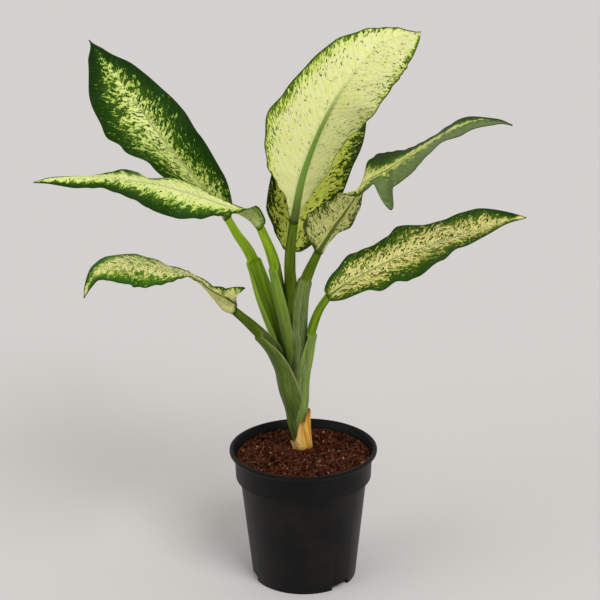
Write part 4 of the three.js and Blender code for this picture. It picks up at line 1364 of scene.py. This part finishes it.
class PLANT_OT_dry_sheath(bpy.types.Operator):
    """Models the torn dry sheath round the foot of the cane"""

    bl_idname = "plant.dry_sheath"
    bl_label = "Dry sheath"

    def execute(self, context):
        foot, knee = (np.array(row[:3], float) for row in CANE[2:4])

        def place(share, round_share):
            angle = np.radians(lerp(DRY["from"], DRY["to"], share))
            # The torn edge has broad lobes with small nicks, and the wall is creased
            tear = 1.6 * np.sin(9 * share * np.pi) + 1.1 * np.sin(23 * share + 1)
            tear = tear + 1.0 * np.abs(np.sin(41 * share + 2 * np.sin(13 * share))) - 0.5
            top = lerp(DRY["low"], DRY["high"], smoothstep(share, 0, 0.5)) + tear
            outside = round_share < 0.5
            high = np.where(outside, 2 * round_share, 2 - 2 * round_share)
            z = lerp(SOIL_LEVEL + SOIL_MOUND - DRY["sunk"], top, high)
            crease = 0.35 * np.sin(31 * share + 2 * high) + 0.25 * np.sin(57 * share + 3 * high + 1)
            thick = DRY["thick"] * outside * (1 - 0.6 * high) * smoothstep(1 - np.abs(2 * share - 1), 0, 0.03)
            flare = DRY["flare"] * high**2 * (0.7 + 0.3 * np.sin(17 * share))
            radius = DRY["inner"] + thick + flare + crease * high
            middle = foot + (knee - foot) * ((z - foot[2]) / (knee[2] - foot[2]))[:, None]
            ring = np.stack([radius * np.cos(angle), radius * np.sin(angle), 0 * z], -1)
            maps = {"Length": (in_cm(z), in_cm((angle - angle.min()) * radius))}
            return middle + ring, maps, {"Torn": smoothstep(high, 0.86, 1.0)}

        sheath = rolled_piece("old_sheath", DRY_GRID, place)
        shade(sheath)
        finish_piece(sheath, dry_material(), "dry_sheath", "dry_sheath")
        return {"FINISHED"}


class PLANT_OT_blades(bpy.types.Operator):
    """Models the variegated blade of every leaf"""

    bl_idname = "plant.blades"
    bl_label = "Blades"

    def execute(self, context):
        foliage = context.scene.plant_foliage
        for leaf in LEAVES:
            blade = rolled_piece(leaf["name"] + "_leaf", BLADE_GRID, blade_place(leaf, foliage))
            shade(blade, BLADE_CREASE)
            slot = "pale_blade" if leaf["tones"] == "painted_backlight" else "blade"
            finish_piece(blade, leaf_material(leaf, foliage), slot, leaf["name"] + "_blade")
        return {"FINISHED"}


class PLANT_PT_panel(bpy.types.Panel):
    """Lists the pieces of the plant"""

    bl_idname = "PLANT_PT_panel"
    bl_label = "Potted Dieffenbachia"
    bl_space_type = "VIEW_3D"
    bl_region_type = "UI"
    bl_category = "Plant"

    def draw(self, context):
        for name in GROUPS:
            box, values = self.layout.box(), getattr(context.scene, name)
            for prop in values.bl_rna.properties:
                if prop.identifier not in ("rna_type", "name"):
                    box.prop(values, prop.identifier)
        for operator in OPERATORS:
            self.layout.operator(operator.bl_idname)


OPERATORS = (
    PLANT_OT_stage, PLANT_OT_pot, PLANT_OT_soil, PLANT_OT_stalks, PLANT_OT_dry_sheath, PLANT_OT_blades,
)
GROUPS = {
    "plant_stage": PLANT_PG_stage, "plant_pot": PLANT_PG_pot, "plant_soil": PLANT_PG_soil,
    "plant_foliage": PLANT_PG_foliage,
}
CLASSES = (*GROUPS.values(), *OPERATORS, PLANT_PT_panel)


def register():
    for kind in CLASSES:
        bpy.utils.register_class(kind)
    for name, kind in GROUPS.items():
        setattr(bpy.types.Scene, name, PointerProperty(type=kind))


def unregister():
    for name in GROUPS:
        delattr(bpy.types.Scene, name)
    for kind in reversed(CLASSES):
        bpy.utils.unregister_class(kind)


def main():
    register()
    make_leaf_pattern()
    make_fibres()
    bpy.ops.plant.stage()
    bpy.ops.plant.pot()
    bpy.ops.plant.soil()
    bpy.ops.plant.stalks()
    bpy.ops.plant.dry_sheath()
    bpy.ops.plant.blades()


if __name__ == "__main__":
    main()
